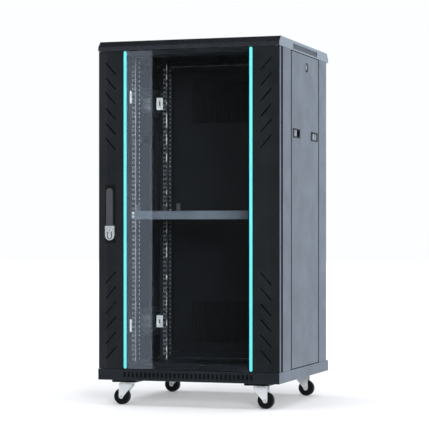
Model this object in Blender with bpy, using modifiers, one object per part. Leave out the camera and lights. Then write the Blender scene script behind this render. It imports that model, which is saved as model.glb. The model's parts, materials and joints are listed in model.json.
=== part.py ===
"""A 22-unit network server rack cabinet on casters, 600 mm wide and 600 mm deep.

The frame is metres, +Z up. +X is the cabinet's right, -Y its front, and the origin is on the floor
below the middle of the body. Run it with blender --background --python part.py.
"""

import math

import bmesh
import bpy
from mathutils import Matrix, Vector

# ---------------------------------------------------------------- driving dimensions
HALF_WIDTH = 0.300
HALF_DEPTH = 0.300
CASTER_HEIGHT = 0.082
BASE_HEIGHT = 0.035
BODY_HEIGHT = 1.010
COVER_HEIGHT = 0.031
SHEET = 0.002
FIT = 0.0003  # gap between pieces that touch
PAST = 0.001  # how far a cutter runs past the face it cuts

BASE_TOP = CASTER_HEIGHT + BASE_HEIGHT
COVER_LOW = BASE_TOP + BODY_HEIGHT
TOP = COVER_LOW + COVER_HEIGHT
MIDDLE = (BASE_TOP + COVER_LOW) / 2

# 19-inch equipment: 22 units of 44.45 mm with three square holes each
UNITS = 22
UNIT = 0.04445
UNIT_HOLES = (0.00635, 0.022225, 0.0381)
HOLE_SIDE = 0.0095
HOLE_X = 0.23255
RACK_LOW = MIDDLE - UNITS * UNIT / 2

# front door
DOOR_HALF = 0.2995
DOOR_FRONT = -HALF_DEPTH
DOOR_THICK = 0.022
DOOR_BACK = DOOR_FRONT + DOOR_THICK
DOOR_GAP = 0.001
DOOR_LOW = BASE_TOP + DOOR_GAP
DOOR_HIGH = COVER_LOW - DOOR_GAP
FOLD_X = 0.269  # where the outer band of each stile bends back
FOLD_BACK = 0.006
STILE_IN = 0.215
WINDOW_HALF = 0.200
WINDOW_EDGE = 0.016
GLASS_BACK = DOOR_FRONT + 0.0052
GLASS_HALF = 0.2030
STRIP_IN = 0.2035
STRIP_WIDTH = 0.0095
DOOR_HINGE = (0.2875, -0.2875)

# slanting vent slots in the stiles
SLOT_X = 0.257
SLOT_RUN = 0.034
SLOT_RISE = 0.038
SLOT_WIDTH = 0.0045
SLOT_COUNT = 6
SLOT_PITCH = 0.048
SLOT_FIRST = 0.452  # height of the outermost slot's middle above and below the door's middle

# front and rear frames
POST_IN = 0.257
POST_OUT = 0.289
LEDGE_X = 0.276
FRAME_FRONT = -0.2685
WING_FRONT = -0.2595
FRAME_REAR = 0.2795
WING_REAR = 0.2717
SIDE_DOOR_Y = (-0.161, 0.1715)
SIDE_JOINT = 0.002

# handle and lock on the left stile
HANDLE_X = -0.2585
SPINDLE_Z = 0.675
LEVER_LOW = 0.5731
LEVER_HALF = 0.011
LEVER_HIGH = 0.691
LEVER_THICK = 0.007
HOUSING_FRONT = DOOR_FRONT - 0.001
HOUSING_Z = (0.5185, 0.7015)
HOUSING_HALF = 0.0165
KEY_Z = 0.558
KEY_RADIUS = 0.0086
LOCK_HALF = 0.0155
LOCK_Z = (0.5255, 0.5716)

# rear door
REAR_HALF = 0.2885
REAR_FRONT = 0.284
REAR_HINGE = (0.2825, 0.2925)
REAR_LOCK = (-0.235, 0.620)

# side doors
SIDE_LOCK = (0.010, 1.086)
LATCH_Z = 0.866
LATCHES = {"front": -0.102, "rear": 0.117}
LATCH_HALF = (0.039, 0.015)

# rails, braces and shelf
RAIL_X = (0.226, 0.2505)
RAIL_FRONTS = {"front": -0.158, "rear": 0.140}
RAIL_DEPTH = 0.040
RAIL_Z = (BASE_TOP + 0.002, COVER_LOW - 0.002)
BRACE_X = (0.2625, 0.2745)
BRACE_Y = (-0.2455, 0.2555)
BRACE_HEIGHTS = {"upper": 0.990, "lower": 0.248}
BRACE_HALF = 0.050
BRACKET_X = (0.239, 0.262)
BRACKET_HALF = 0.0205
SHELF_TOP = 0.620
SHELF_LIP = 0.027
SHELF_Y = (-0.1605, 0.137)

# casters
CASTER_X = 0.220
CASTER_Y = 0.240
CASTER_PLATE = 0.080
PLATE_THICK = 0.0077
TRAIL = 0.020
WHEEL_RADIUS = 0.026
WHEEL_HALF = 0.010
AXLE_RADIUS = 0.003

CORNERS = {"front_left": (-1, -1), "front_right": (1, -1), "rear_left": (-1, 1), "rear_right": (1, 1)}
SIDES = {"left": -1, "right": 1}

# how a flat outline's two coordinates and its extrusion lie along X, Y and Z
PLANES = {
    "XY": Matrix(((1, 0, 0, 0), (0, 1, 0, 0), (0, 0, 1, 0), (0, 0, 0, 1))),
    "XZ": Matrix(((1, 0, 0, 0), (0, 0, 1, 0), (0, 1, 0, 0), (0, 0, 0, 1))),
    "YZ": Matrix(((0, 0, 1, 0), (1, 0, 0, 0), (0, 1, 0, 0), (0, 0, 0, 1))),
}

# colour, roughness and metallic value of each finish
FINISHES = {
    "black_paint": ((0.020, 0.022, 0.025), 0.42, 0.0),
    "graphite_paint": ((0.055, 0.060, 0.068), 0.38, 0.0),
    "inner_paint": ((0.045, 0.048, 0.055), 0.45, 0.0),
    "rail_steel": ((0.32, 0.34, 0.37), 0.35, 0.8),
    "zinc": ((0.78, 0.80, 0.80), 0.28, 1.0),
    "chrome": ((0.86, 0.87, 0.88), 0.12, 1.0),
    "glass": ((0.10, 0.12, 0.13), 0.05, 0.0),
    "cyan_trim": ((0.20, 0.95, 0.93), 0.35, 0.0),
    "black_plastic": ((0.018, 0.018, 0.020), 0.50, 0.0),
    "grey_lever": ((0.075, 0.080, 0.085), 0.40, 0.0),
    "rubber": ((0.016, 0.016, 0.017), 0.70, 0.0),
}


# ---------------------------------------------------------------- helpers
def start():
    """Empties the scene and makes one collection for the pieces and one for the cutters."""
    for obj in list(bpy.data.objects):
        bpy.data.objects.remove(obj, do_unlink=True)
    for name in ("network_rack_cabinet", "cutters"):
        bpy.context.scene.collection.children.link(bpy.data.collections.new(name))
    bpy.data.collections["cutters"].hide_render = True


def paint(name, finish):
    """A Principled material of one piece's own, in the colour of its finish."""
    colour, roughness, metallic = FINISHES[finish]
    material = bpy.data.materials.new(name)
    material.use_nodes = True
    shader = material.node_tree.nodes["Principled BSDF"]
    shader.inputs["Base Color"].default_value = (*colour, 1.0)
    shader.inputs["Roughness"].default_value = roughness
    shader.inputs["Metallic"].default_value = metallic
    return material


def centred(obj):
    """Moves the origin of an object to the middle of its mesh, which stays where it is."""
    points = [vertex.co for vertex in obj.data.vertices]
    low = Vector(map(min, zip(*points)))
    high = Vector(map(max, zip(*points)))
    middle = (low + high) / 2
    obj.data.transform(Matrix.Translation(-middle))
    obj.location = middle
    return obj


def piece(name, mesh, finish):
    """A named part of the cabinet from a mesh in world coordinates."""
    obj = bpy.data.objects.new(name, mesh)
    mesh.name = name
    mesh.materials.append(paint(name, finish))
    bpy.data.collections["network_rack_cabinet"].objects.link(obj)
    return centred(obj)


def helper(name, mesh):
    """A shape that is only cut from a part or joined to it."""
    obj = bpy.data.objects.new(name, mesh)
    obj.hide_render = True
    obj.display_type = "WIRE"
    bpy.data.collections["cutters"].objects.link(obj)
    return obj


def combine(obj, other, operation):
    """Adds one exact Boolean to an object."""
    modifier = obj.modifiers.new(other.name, "BOOLEAN")
    modifier.operation = operation
    modifier.solver = "EXACT"
    modifier.object = other


def cut(obj, name, mesh):
    """Cuts a shape from an object."""
    combine(obj, helper(f"{obj.name}_{name}", mesh), "DIFFERENCE")


def join(obj, name, mesh):
    """Joins a shape to an object as one body."""
    combine(obj, helper(f"{obj.name}_{name}", mesh), "UNION")


def finished(bm, name):
    """The mesh of a bmesh whose faces are turned to point out."""
    bmesh.ops.recalc_face_normals(bm, faces=bm.faces)
    mesh = bpy.data.meshes.new(name)
    bm.to_mesh(mesh)
    bm.free()
    return mesh


def boxes(*corners):
    """One mesh of separate boxes, each given by its low and its high corner."""
    bm = bmesh.new()
    for low, high in corners:
        low = Vector(low)
        size = Vector(high) - low
        matrix = Matrix.Translation(low + size / 2) @ Matrix.Diagonal((*size, 1.0))
        bmesh.ops.create_cube(bm, size=1.0, matrix=matrix)
    return finished(bm, "boxes")


def turn_to(axis):
    """The rotation that takes +Z to X, Y or Z."""
    return {
        "X": Matrix.Rotation(math.pi / 2, 4, "Y"),
        "Y": Matrix.Rotation(-math.pi / 2, 4, "X"),
        "Z": Matrix.Identity(4),
    }[axis]


def rods(axis, segments, *items):
    """One mesh of separate cylinders along an axis, each given by centre, radius and length."""
    bm = bmesh.new()
    for centre, radius, length in items:
        matrix = Matrix.Translation(centre) @ turn_to(axis)
        bmesh.ops.create_cone(
            bm, cap_ends=True, segments=segments, radius1=radius, radius2=radius, depth=length, matrix=matrix
        )
    return finished(bm, "rods")


def prism(plane, low, high, *outlines):
    """Flat outlines in the plane XY, XZ or YZ, filled and extruded from low to high across it."""
    curve = bpy.data.curves.new("outline", "CURVE")
    curve.dimensions = "2D"
    curve.fill_mode = "BOTH"
    curve.extrude = (high - low) / 2
    for outline in outlines:
        spline = curve.splines.new("POLY")
        spline.points.add(len(outline) - 1)
        spline.use_cyclic_u = True
        for point, (across, up) in zip(spline.points, outline):
            point.co = (across, up, 0.0, 1.0)
    guide = bpy.data.objects.new("outline", curve)
    bpy.data.collections["cutters"].objects.link(guide)
    bpy.context.view_layer.update()
    graph = bpy.context.evaluated_depsgraph_get()
    mesh = bpy.data.meshes.new_from_object(guide.evaluated_get(graph))
    bpy.data.objects.remove(guide, do_unlink=True)
    bm = bmesh.new()
    bm.from_mesh(mesh)
    bpy.data.meshes.remove(mesh)
    bmesh.ops.remove_doubles(bm, verts=bm.verts, dist=1e-6)
    matrix = PLANES[plane] @ Matrix.Translation((0, 0, (low + high) / 2))
    bmesh.ops.transform(bm, matrix=matrix, verts=bm.verts)
    return finished(bm, "prism")


def arc(centre, radius, first, last, steps):
    """Points of a circle's arc between two angles in degrees, both ends included."""
    angles = [math.radians(first + (last - first) * i / steps) for i in range(steps + 1)]
    return [(centre[0] + radius * math.cos(a), centre[1] + radius * math.sin(a)) for a in angles]


def rounded_box(centre, half, radius, steps):
    """Outline of a rectangle with round corners."""
    x, y = half[0] - radius, half[1] - radius
    outline = []
    for sx, sy, first in ((1, 1, 0), (-1, 1, 90), (-1, -1, 180), (1, -1, 270)):
        outline += arc((centre[0] + sx * x, centre[1] + sy * y), radius, first, first + 90, steps)
    return outline


def sheet(path, low, high):
    """Open sheet that follows a path in plan and stands from low to high. Solidify gives it its wall."""
    bm = bmesh.new()
    points = [bm.verts.new((x, y, low)) for x, y in path]
    edges = [bm.edges.new(pair) for pair in zip(points, points[1:])]
    made = bmesh.ops.extrude_edge_only(bm, edges=edges)["geom"]
    raised = [item for item in made if isinstance(item, bmesh.types.BMVert)]
    bmesh.ops.translate(bm, vec=(0, 0, high - low), verts=raised)
    return finished(bm, "sheet")


def walled(obj):
    """Gives an open sheet its thickness, half to each side."""
    solidify = obj.modifiers.new("wall", "SOLIDIFY")
    solidify.thickness = SHEET
    solidify.offset = 0.0
    solidify.use_even_offset = True


def turned(name, finish, profile, steps, centre, axis):
    """Turned piece from (radius, height) points that run down its outer side, along an axis."""
    bm = bmesh.new()
    points = [bm.verts.new((radius, 0, height)) for radius, height in profile]
    for pair in zip(points, points[1:]):
        bm.edges.new(pair)
    if profile[0][0] > 0:
        bm.edges.new((points[-1], points[0]))
    mesh = bpy.data.meshes.new(name)
    bm.to_mesh(mesh)
    bm.free()
    obj = bpy.data.objects.new(name, mesh)
    mesh.materials.append(paint(name, finish))
    bpy.data.collections["network_rack_cabinet"].objects.link(obj)
    obj.matrix_world = Matrix.Translation(centre) @ turn_to(axis)
    screw = obj.modifiers.new("turn", "SCREW")
    screw.steps = steps
    screw.render_steps = steps
    screw.use_merge_vertices = True
    screw.merge_threshold = 0.00001
    screw.use_smooth_shade = True
    return obj


def body(name, position, *pieces):
    """Hangs the pieces that move together on an empty at their joint."""
    joint = bpy.data.objects.new(name, None)
    bpy.data.collections["network_rack_cabinet"].objects.link(joint)
    joint.location = position
    for obj in pieces:
        obj.parent = joint
        obj.location = Vector(obj.location) - Vector(position)
    return joint


def flip(points, side):
    """Points of an outline mirrored to the left for side -1."""
    return [(side * x, y) for x, y in points]


# ---------------------------------------------------------------- base and cover
def hinge_holes(radius_front, radius_rear):
    """Cylinders for the hinge pins of the front and the rear door through base and cover."""
    length = TOP - CASTER_HEIGHT - 0.044
    return rods(
        "Z",
        16,
        ((*DOOR_HINGE, MIDDLE), radius_front, length),
        ((*REAR_HINGE, MIDDLE), radius_rear, length),
    )


def base_frame():
    """Shallow box, open below, with fine vent slots in its front and a cable entry in its floor."""
    wall = 0.003
    x, y = HALF_WIDTH, HALF_DEPTH
    obj = piece("base_frame", boxes(((-x, -y, CASTER_HEIGHT), (x, y, BASE_TOP))), "graphite_paint")
    low, high = CASTER_HEIGHT + wall, BASE_TOP - 0.0025
    cut(obj, "cavity", boxes(((wall - x, wall - y, low), (x - wall, y - wall, high))))
    cut(obj, "underside", boxes(((-0.17, -0.17, CASTER_HEIGHT - PAST), (0.17, 0.17, low + PAST))))
    cut(obj, "cable_entry", boxes(((-0.12, 0.085, high - PAST), (0.12, 0.155, BASE_TOP + PAST))))
    slots = []
    count, pitch, half = 31, 0.014, 0.0035
    for i in range(count):
        middle = (i - (count - 1) / 2) * pitch
        slots.append(((middle - half, -y - PAST, 0.092), (middle + half, wall - y + PAST, 0.108)))
    cut(obj, "vents", boxes(*slots))
    cut(obj, "hinge_holes", hinge_holes(0.0043, 0.0034))
    return obj


def top_cover():
    """Shell with chamfered front and rear edges, vent openings in its sides and a cable entry in its top."""
    chamfer = 0.0183
    wall = 0.0025

    def outline(inset):
        edge = HALF_DEPTH - inset
        shoulder = TOP - 0.018 - 0.4 * inset
        flat = HALF_DEPTH - chamfer - 0.4 * inset
        low = COVER_LOW + inset
        right = [(edge, low), (edge, shoulder), (flat, TOP - inset)]
        return right + [(-y, z) for y, z in reversed(right)]

    obj = piece("top_cover", prism("YZ", -HALF_WIDTH, HALF_WIDTH, outline(0.0)), "graphite_paint")
    cut(obj, "cavity", prism("YZ", wall - HALF_WIDTH, HALF_WIDTH - wall, outline(wall)))
    underside = ((-0.262, -0.255, COVER_LOW - PAST), (0.262, 0.255, COVER_LOW + wall + PAST))
    cut(obj, "underside", boxes(underside))
    cut(obj, "vents", boxes(((-0.31, -0.142, 1.132), (0.31, 0.151, 1.149))))
    cut(obj, "cable_entry", boxes(((-0.12, 0.17, TOP - wall - PAST), (0.12, 0.23, TOP + PAST))))
    cut(obj, "hinge_holes", hinge_holes(0.0043, 0.0034))
    keeps = []
    for side in (-1, 1):
        x = side * 0.2772
        keeps.append(((x - 0.001, -0.135, 1.108), (x + 0.001, 0.155, 1.1285)))
    join(obj, "lock_keeps", boxes(*keeps))
    return obj


def cover_vent(side_name):
    """Perforated insert in a side vent of the cover."""
    side = SIDES[side_name]
    x = (side * 0.2975, side * 0.2989)
    low, high = 1.132 + FIT, 1.149 - FIT
    plate = boxes(((min(x), -0.142 + FIT, low), (max(x), 0.151 - FIT, high)))
    obj = piece(f"cover_vent_{side_name}", plate, "black_plastic")
    slots = []
    for column in range(7):
        for row in range(2):
            y = 0.0045 + (column - 3) * 0.0405
            z = 1.1372 + row * 0.0066
            slots.append(((min(x) - PAST, y - 0.018, z - 0.0018), (max(x) + PAST, y + 0.018, z + 0.0018)))
    cut(obj, "slots", boxes(*slots))
    return obj


# ---------------------------------------------------------------- frames, braces and rails
def post_path(side, front, wing, end):
    """Folded section of a corner post: inner lip, flange to the door, recess, outer wing and ledge."""
    way = 1 if end > wing else -1
    lip = front + way * 0.019
    path = [(POST_IN, lip), (POST_IN, front), (POST_OUT, front), (POST_OUT, wing)]
    turn = arc((0.299 - 0.004, end - way * 0.004), 0.004, 0, way * 90, 3)
    path += [(0.299, wing)] + turn + [(LEDGE_X, end), (LEDGE_X, end + way * 0.016)]
    return flip(path, side)


def door_frame_ring(name, front, wing, end):
    """Two folded posts joined by a bar at the top and the bottom."""
    low, high = BASE_TOP + FIT, COVER_LOW - FIT
    obj = piece(name, sheet(post_path(1, front, wing, end), low, high), "graphite_paint")
    walled(obj)
    left = helper(f"{name}_left_post", sheet(post_path(-1, front, wing, end), low, high))
    walled(left)
    combine(obj, left, "UNION")
    way = 1 if end > wing else -1
    y = sorted((front - way * 0.0004, front + way * 0.011))
    bars = []
    for bottom in (low + 0.0006, high - 0.0206):
        bars.append(((-POST_IN - 0.003, y[0], bottom), (POST_IN + 0.003, y[1], bottom + 0.020)))
    join(obj, "bars", boxes(*bars))
    return obj


def front_frame():
    """Frame behind the front door."""
    return door_frame_ring("front_frame", FRAME_FRONT, WING_FRONT, SIDE_DOOR_Y[0] - SIDE_JOINT - SHEET / 2)


def rear_frame():
    """Frame in front of the rear door."""
    return door_frame_ring("rear_frame", FRAME_REAR, WING_REAR, SIDE_DOOR_Y[1] + SIDE_JOINT + SHEET / 2)


def depth_brace(side_name, level):
    """Channel from front to rear with two raised ribs and a row of holes between them."""
    side = SIDES[side_name]
    middle = BRACE_HEIGHTS[level]
    low, high = middle - BRACE_HALF, middle + BRACE_HALF
    web = sorted((side * (BRACE_X[1] - SHEET), side * BRACE_X[1]))
    rib = sorted((side * BRACE_X[0], side * (BRACE_X[1] - SHEET / 2)))
    name = f"depth_brace_{level}_{side_name}"
    obj = piece(name, boxes(((web[0], BRACE_Y[0], low), (web[1], BRACE_Y[1], high))), "inner_paint")
    ribs = []
    for edge in (low, high - 0.026):
        ribs.append(((rib[0], BRACE_Y[0] + 0.012, edge + 0.003), (rib[1], BRACE_Y[1] - 0.012, edge + 0.023)))
    join(obj, "ribs", boxes(*ribs))
    holes = []
    for i in range(13):
        y = 0.005 + (i - 6) * 0.035
        hole = ((web[0] - PAST, y - 0.0045, middle - 0.0045), (web[1] + PAST, y + 0.0045, middle + 0.0045))
        holes.append(hole)
    cut(obj, "holes", boxes(*holes))
    return obj


def rack_rail(row, side_name):
    """Folded 19-inch rail: side flange, front flange with square holes, and a short return."""
    side = SIDES[side_name]
    face = RAIL_FRONTS[row]
    y = face + SHEET / 2
    path = [(RAIL_X[0], face + RAIL_DEPTH), (RAIL_X[0], y), (RAIL_X[1], y), (RAIL_X[1], face + 0.013)]
    obj = piece(f"rack_rail_{row}_{side_name}", sheet(flip(path, side), *RAIL_Z), "rail_steel")
    walled(obj)
    half = HOLE_SIDE / 2
    holes = []
    for unit in range(UNITS):
        for offset in UNIT_HOLES:
            z = RACK_LOW + unit * UNIT + offset
            x = side * HOLE_X
            holes.append(((x - half, face - PAST, z - half), (x + half, face + SHEET + PAST, z + half)))
    cut(obj, "holes", boxes(*holes))
    return obj


def rail_bracket(row, side_name, level):
    """Zinc angle that holds a rail to a depth brace, with one slot."""
    side = SIDES[side_name]
    middle = BRACE_HEIGHTS[level]
    low, high = middle - BRACKET_HALF, middle + BRACKET_HALF
    front = RAIL_FRONTS[row] - FIT - SHEET
    plate = sorted((side * BRACKET_X[0], side * BRACKET_X[1]))
    back = sorted((side * (BRACKET_X[1] - SHEET), side * BRACKET_X[1]))
    name = f"rail_bracket_{row}_{level}_{side_name}"
    obj = piece(name, boxes(((plate[0], front, low), (plate[1], front + SHEET, high))), "zinc")
    join(obj, "return", boxes(((back[0], front, low), (back[1], front + 0.034, high))))
    x = side * 0.2515
    slot = ((x - 0.003, front - PAST, middle - 0.007), (x + 0.003, front + SHEET + PAST, middle + 0.007))
    cut(obj, "slot", boxes(slot))
    return obj


def shelf():
    """Deck with a front lip and two side flanges whose tabs reach up beside the rails' holes."""
    half, thick = 0.2245, 0.002
    front, rear = SHELF_Y
    low = SHELF_TOP - SHELF_LIP
    inset = 0.0005
    deck = ((inset - half, front + inset, SHELF_TOP - thick), (half - inset, rear, SHELF_TOP))
    obj = piece("shelf", boxes(deck), "graphite_paint")
    join(obj, "lip", boxes(((-0.2415, front, low), (0.2415, front + thick, SHELF_TOP - FIT))))
    flanges = []
    tabs = []
    for side in (-1, 1):
        x = sorted((side * (half - thick), side * half))
        flanges.append(((x[0], front + PAST, low + 0.004), (x[1], rear - PAST, SHELF_TOP - PAST)))
        for tab_front in (RAIL_FRONTS["front"], rear - 0.038):
            tab = ((x[0] + FIT, tab_front, low + 0.006), (x[1] - FIT, tab_front + 0.036, SHELF_TOP + 0.020))
            tabs.append(tab)
    join(obj, "flanges", boxes(*flanges))
    join(obj, "tabs", boxes(*tabs))
    slots = []
    for row in range(2):
        for column in range(8):
            x = (column - 3.5) * 0.050
            y = -0.075 + row * 0.110
            slot = ((x - 0.004, y - 0.035, SHELF_TOP - 0.004), (x + 0.004, y + 0.035, SHELF_TOP + PAST))
            slots.append(slot)
    cut(obj, "slots", boxes(*slots))
    return obj


# ---------------------------------------------------------------- front door
def slot_outline(side, group, index):
    """One slanting slot with round ends. The upper group rises outwards and the lower one mirrors it."""
    length = math.hypot(SLOT_RUN, SLOT_RISE)
    angle = math.atan2(SLOT_RISE, SLOT_RUN)
    middle_z = MIDDLE - 0.003 + group * (SLOT_FIRST - index * SLOT_PITCH)
    slant = angle * side * group
    radius = SLOT_WIDTH / 2
    reach = length / 2 - radius
    ends = arc((reach, 0), radius, -60, 60, 2) + arc((-reach, 0), radius, 120, 240, 2)
    turn = Matrix.Rotation(slant, 2)
    points = [turn @ Vector(point) for point in ends]
    return [(side * SLOT_X + point.x, middle_z + point.y) for point in points]


def front_door_frame():
    """Folded steel frame: two slotted stiles with hollow backs and two bars behind the glass."""
    edge = DOOR_FRONT + FOLD_BACK
    right = [(FOLD_X, DOOR_FRONT), (DOOR_HALF, edge), (DOOR_HALF, DOOR_BACK)]
    outline = right + [(-x, y) for x, y in reversed(right)]
    obj = piece("front_door_frame", prism("XY", DOOR_LOW, DOOR_HIGH, outline), "black_paint")
    low, high = DOOR_LOW - PAST, DOOR_HIGH + PAST
    cut(obj, "glass_recess", boxes(((-STILE_IN, DOOR_FRONT - PAST, low), (STILE_IN, GLASS_BACK + FIT, high))))
    z = (DOOR_LOW + WINDOW_EDGE, DOOR_HIGH - WINDOW_EDGE)
    cut(obj, "window", boxes(((-WINDOW_HALF, DOOR_FRONT, z[0]), (WINDOW_HALF, DOOR_BACK + PAST, z[1]))))
    wall = 0.003
    pocket = [
        (STILE_IN + wall, DOOR_FRONT + wall),
        (FOLD_X - 0.0005, DOOR_FRONT + wall),
        (DOOR_HALF - wall, edge + wall - 0.0005),
        (DOOR_HALF - wall, DOOR_BACK + PAST),
        (STILE_IN + wall, DOOR_BACK + PAST),
    ]
    pockets = (pocket, [(-x, y) for x, y in reversed(pocket)])
    cut(obj, "stile_backs", prism("XY", DOOR_LOW + wall, DOOR_HIGH - wall, *pockets))
    slots = [slot_outline(side, group, i) for side in (-1, 1) for group in (-1, 1) for i in range(SLOT_COUNT)]
    cut(obj, "slots", prism("XZ", DOOR_FRONT - PAST, DOOR_FRONT + 0.0095, *slots))
    half = HOUSING_HALF + 0.0005
    z = (HOUSING_Z[0] - 0.0005, HOUSING_Z[1] + 0.0005)
    cutout = ((HANDLE_X - half, DOOR_FRONT - PAST, z[0]), (HANDLE_X + half, DOOR_FRONT + 0.01, z[1]))
    cut(obj, "handle_cutout", boxes(cutout))
    cut(obj, "hinge_holes", rods("Z", 16, ((*DOOR_HINGE, MIDDLE), 0.0043, BODY_HEIGHT + 0.02)))
    return obj


def glass_pane():
    """Toughened glass that lies on the door's two bars."""
    low, high = DOOR_LOW + 0.001, DOOR_HIGH - 0.001
    pane = boxes(((-GLASS_HALF, DOOR_FRONT + 0.0002, low), (GLASS_HALF, GLASS_BACK, high)))
    return piece("front_glass", pane, "glass")


def trim_strip(side_name):
    """Light strip with round ends between the glass and a stile."""
    side = SIDES[side_name]
    half = STRIP_WIDTH / 2
    x = side * (STRIP_IN + half)
    low, high = DOOR_LOW + 0.001 + half, DOOR_HIGH - 0.001 - half
    outline = arc((x, high), half, 0, 180, 6) + arc((x, low), half, 180, 360, 6)
    mesh = prism("XZ", DOOR_FRONT - 0.0006, GLASS_BACK, outline)
    return piece(f"trim_strip_{side_name}", mesh, "cyan_trim")


def handle_housing():
    """Block let into the left stile, bored for the spindle and for the key cylinder."""
    middle = (HANDLE_X, sum(HOUSING_Z) / 2)
    half = (HOUSING_HALF, (HOUSING_Z[1] - HOUSING_Z[0]) / 2)
    outline = rounded_box(middle, half, 0.006, 3)
    obj = piece("handle_housing", prism("XZ", HOUSING_FRONT, -0.285, outline), "black_plastic")
    spindle_bore = ((HANDLE_X, -0.292, SPINDLE_Z), 0.0069, 0.03)
    key_bore = ((HANDLE_X, -0.292, KEY_Z), 0.0089, 0.03)
    cut(obj, "bores", rods("Y", 20, spindle_bore, key_bore))
    return obj


def handle_spindle():
    """Shaft behind the lever with the cam that turns between the door and the frame."""
    front, back = HOUSING_FRONT - 0.0002, -0.2718
    shaft = rods("Y", 20, ((HANDLE_X, (front + back) / 2, SPINDLE_Z), 0.0065, back - front))
    obj = piece("handle_spindle", shaft, "zinc")
    half, reach = 0.007, 0.026
    outline = [(HANDLE_X + half, SPINDLE_Z), (HANDLE_X + half, SPINDLE_Z + reach)]
    outline += [(HANDLE_X - half, SPINDLE_Z + reach), (HANDLE_X - half, SPINDLE_Z)]
    outline += arc((HANDLE_X, SPINDLE_Z), 0.008, 200, 340, 5)
    join(obj, "cam", prism("XZ", -0.2748, -0.2719, outline))
    return obj


def handle_lever():
    """Flat lever with a half-round top, hinged at its top edge."""
    back = HOUSING_FRONT - 0.0005
    outline = arc((HANDLE_X, LEVER_HIGH - LEVER_HALF), LEVER_HALF, 0, 180, 8)
    outline += [(HANDLE_X - LEVER_HALF, LEVER_LOW), (HANDLE_X + LEVER_HALF, LEVER_LOW)]
    obj = piece("handle_lever", prism("XZ", back - LEVER_THICK, back, outline), "grey_lever")
    bevel = obj.modifiers.new("soft_edges", "BEVEL")
    bevel.width = 0.0016
    bevel.segments = 2
    bevel.limit_method = "ANGLE"
    bevel.angle_limit = math.radians(50)
    return obj


def lock_body():
    """Bright block below the lever with a flat top, a half-round bottom and the key cylinder's bore."""
    low, high = LOCK_Z
    outline = [(HANDLE_X + LOCK_HALF, high), (HANDLE_X - LOCK_HALF, high)]
    outline += arc((HANDLE_X, low + LOCK_HALF), LOCK_HALF, 180, 360, 10)
    obj = piece("lock_body", prism("XZ", -0.3070, HOUSING_FRONT - FIT, outline), "chrome")
    cut(obj, "bore", rods("Y", 20, ((HANDLE_X, -0.304, KEY_Z), 0.0089, 0.01)))
    return obj


def key_cylinder():
    """Round plug with its key slot."""
    profile = [(0.0, 0.0104), (KEY_RADIUS, 0.0104), (KEY_RADIUS, -0.0104), (0.0, -0.0104)]
    obj = turned("key_cylinder", "chrome", profile, 20, (HANDLE_X, -0.2974, KEY_Z), "Y")
    slot = ((HANDLE_X - 0.0010, -0.310, KEY_Z - 0.0042), (HANDLE_X + 0.0010, -0.3015, KEY_Z + 0.0042))
    cut(obj, "key_slot", boxes(slot))
    return obj


def hinge_pin(level):
    """Headed pin that carries the front door in the base or the cover."""
    way = 1 if level == "upper" else -1
    edge = DOOR_HIGH - 0.003 if way > 0 else DOOR_LOW + 0.003
    profile = [(0.0, 0.0105), (0.004, 0.0105), (0.004, -FIT), (0.005, -FIT), (0.005, -0.0045), (0.0, -0.0045)]
    obj = turned(f"hinge_pin_{level}", "zinc", profile, 16, (*DOOR_HINGE, edge), "Z")
    if way < 0:
        obj.rotation_euler = (math.pi, 0, 0)
    return obj


# ---------------------------------------------------------------- rear door
def rear_door():
    """Pan with two groups of level vent slots and a hinge peg at each end."""
    low, high = DOOR_LOW + 0.0005, DOOR_HIGH - 0.0005
    whole = boxes(((-REAR_HALF, REAR_FRONT, low), (REAR_HALF, HALF_DEPTH, high)))
    obj = piece("rear_door", whole, "black_paint")
    inner = REAR_HALF - SHEET
    pan = ((-inner, REAR_FRONT - PAST, low + SHEET), (inner, HALF_DEPTH - SHEET, high - SHEET))
    cut(obj, "pan", boxes(pan))
    slots = []
    for group in (-1, 1):
        for row in range(6):
            z = MIDDLE + group * (0.440 - row * 0.024)
            slots.append(((-0.180, HALF_DEPTH - 0.004, z - 0.003), (0.180, HALF_DEPTH + PAST, z + 0.003)))
    cut(obj, "slots", boxes(*slots))
    cut(obj, "lock_hole", rods("Y", 20, ((REAR_LOCK[0], HALF_DEPTH, REAR_LOCK[1]), 0.0084, 0.02)))
    pegs = [((*REAR_HINGE, z), 0.003, 0.010) for z in (high + 0.002, low - 0.002)]
    join(obj, "pegs", rods("Z", 12, *pegs))
    return obj


def rear_lock():
    """Round cam lock of the rear door, whose cam turns inside the door's pan."""
    x, z = REAR_LOCK
    profile = [(0.0, 0.0102), (0.008, 0.0102), (0.008, 0.0), (0.005, 0.0), (0.005, -0.0060), (0.0, -0.0060)]
    obj = turned("rear_lock", "chrome", profile, 20, (x, 0.2910, z), "Y")
    obj.rotation_euler = (-math.pi / 2, 0, 0)
    join(obj, "cam", boxes(((x - 0.007, 0.2855, z - 0.007), (x + 0.007, 0.2885, z + 0.033))))
    cut(obj, "key_slot", boxes(((x - 0.001, 0.2965, z - 0.004), (x + 0.001, 0.303, z + 0.004))))
    return obj


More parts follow.
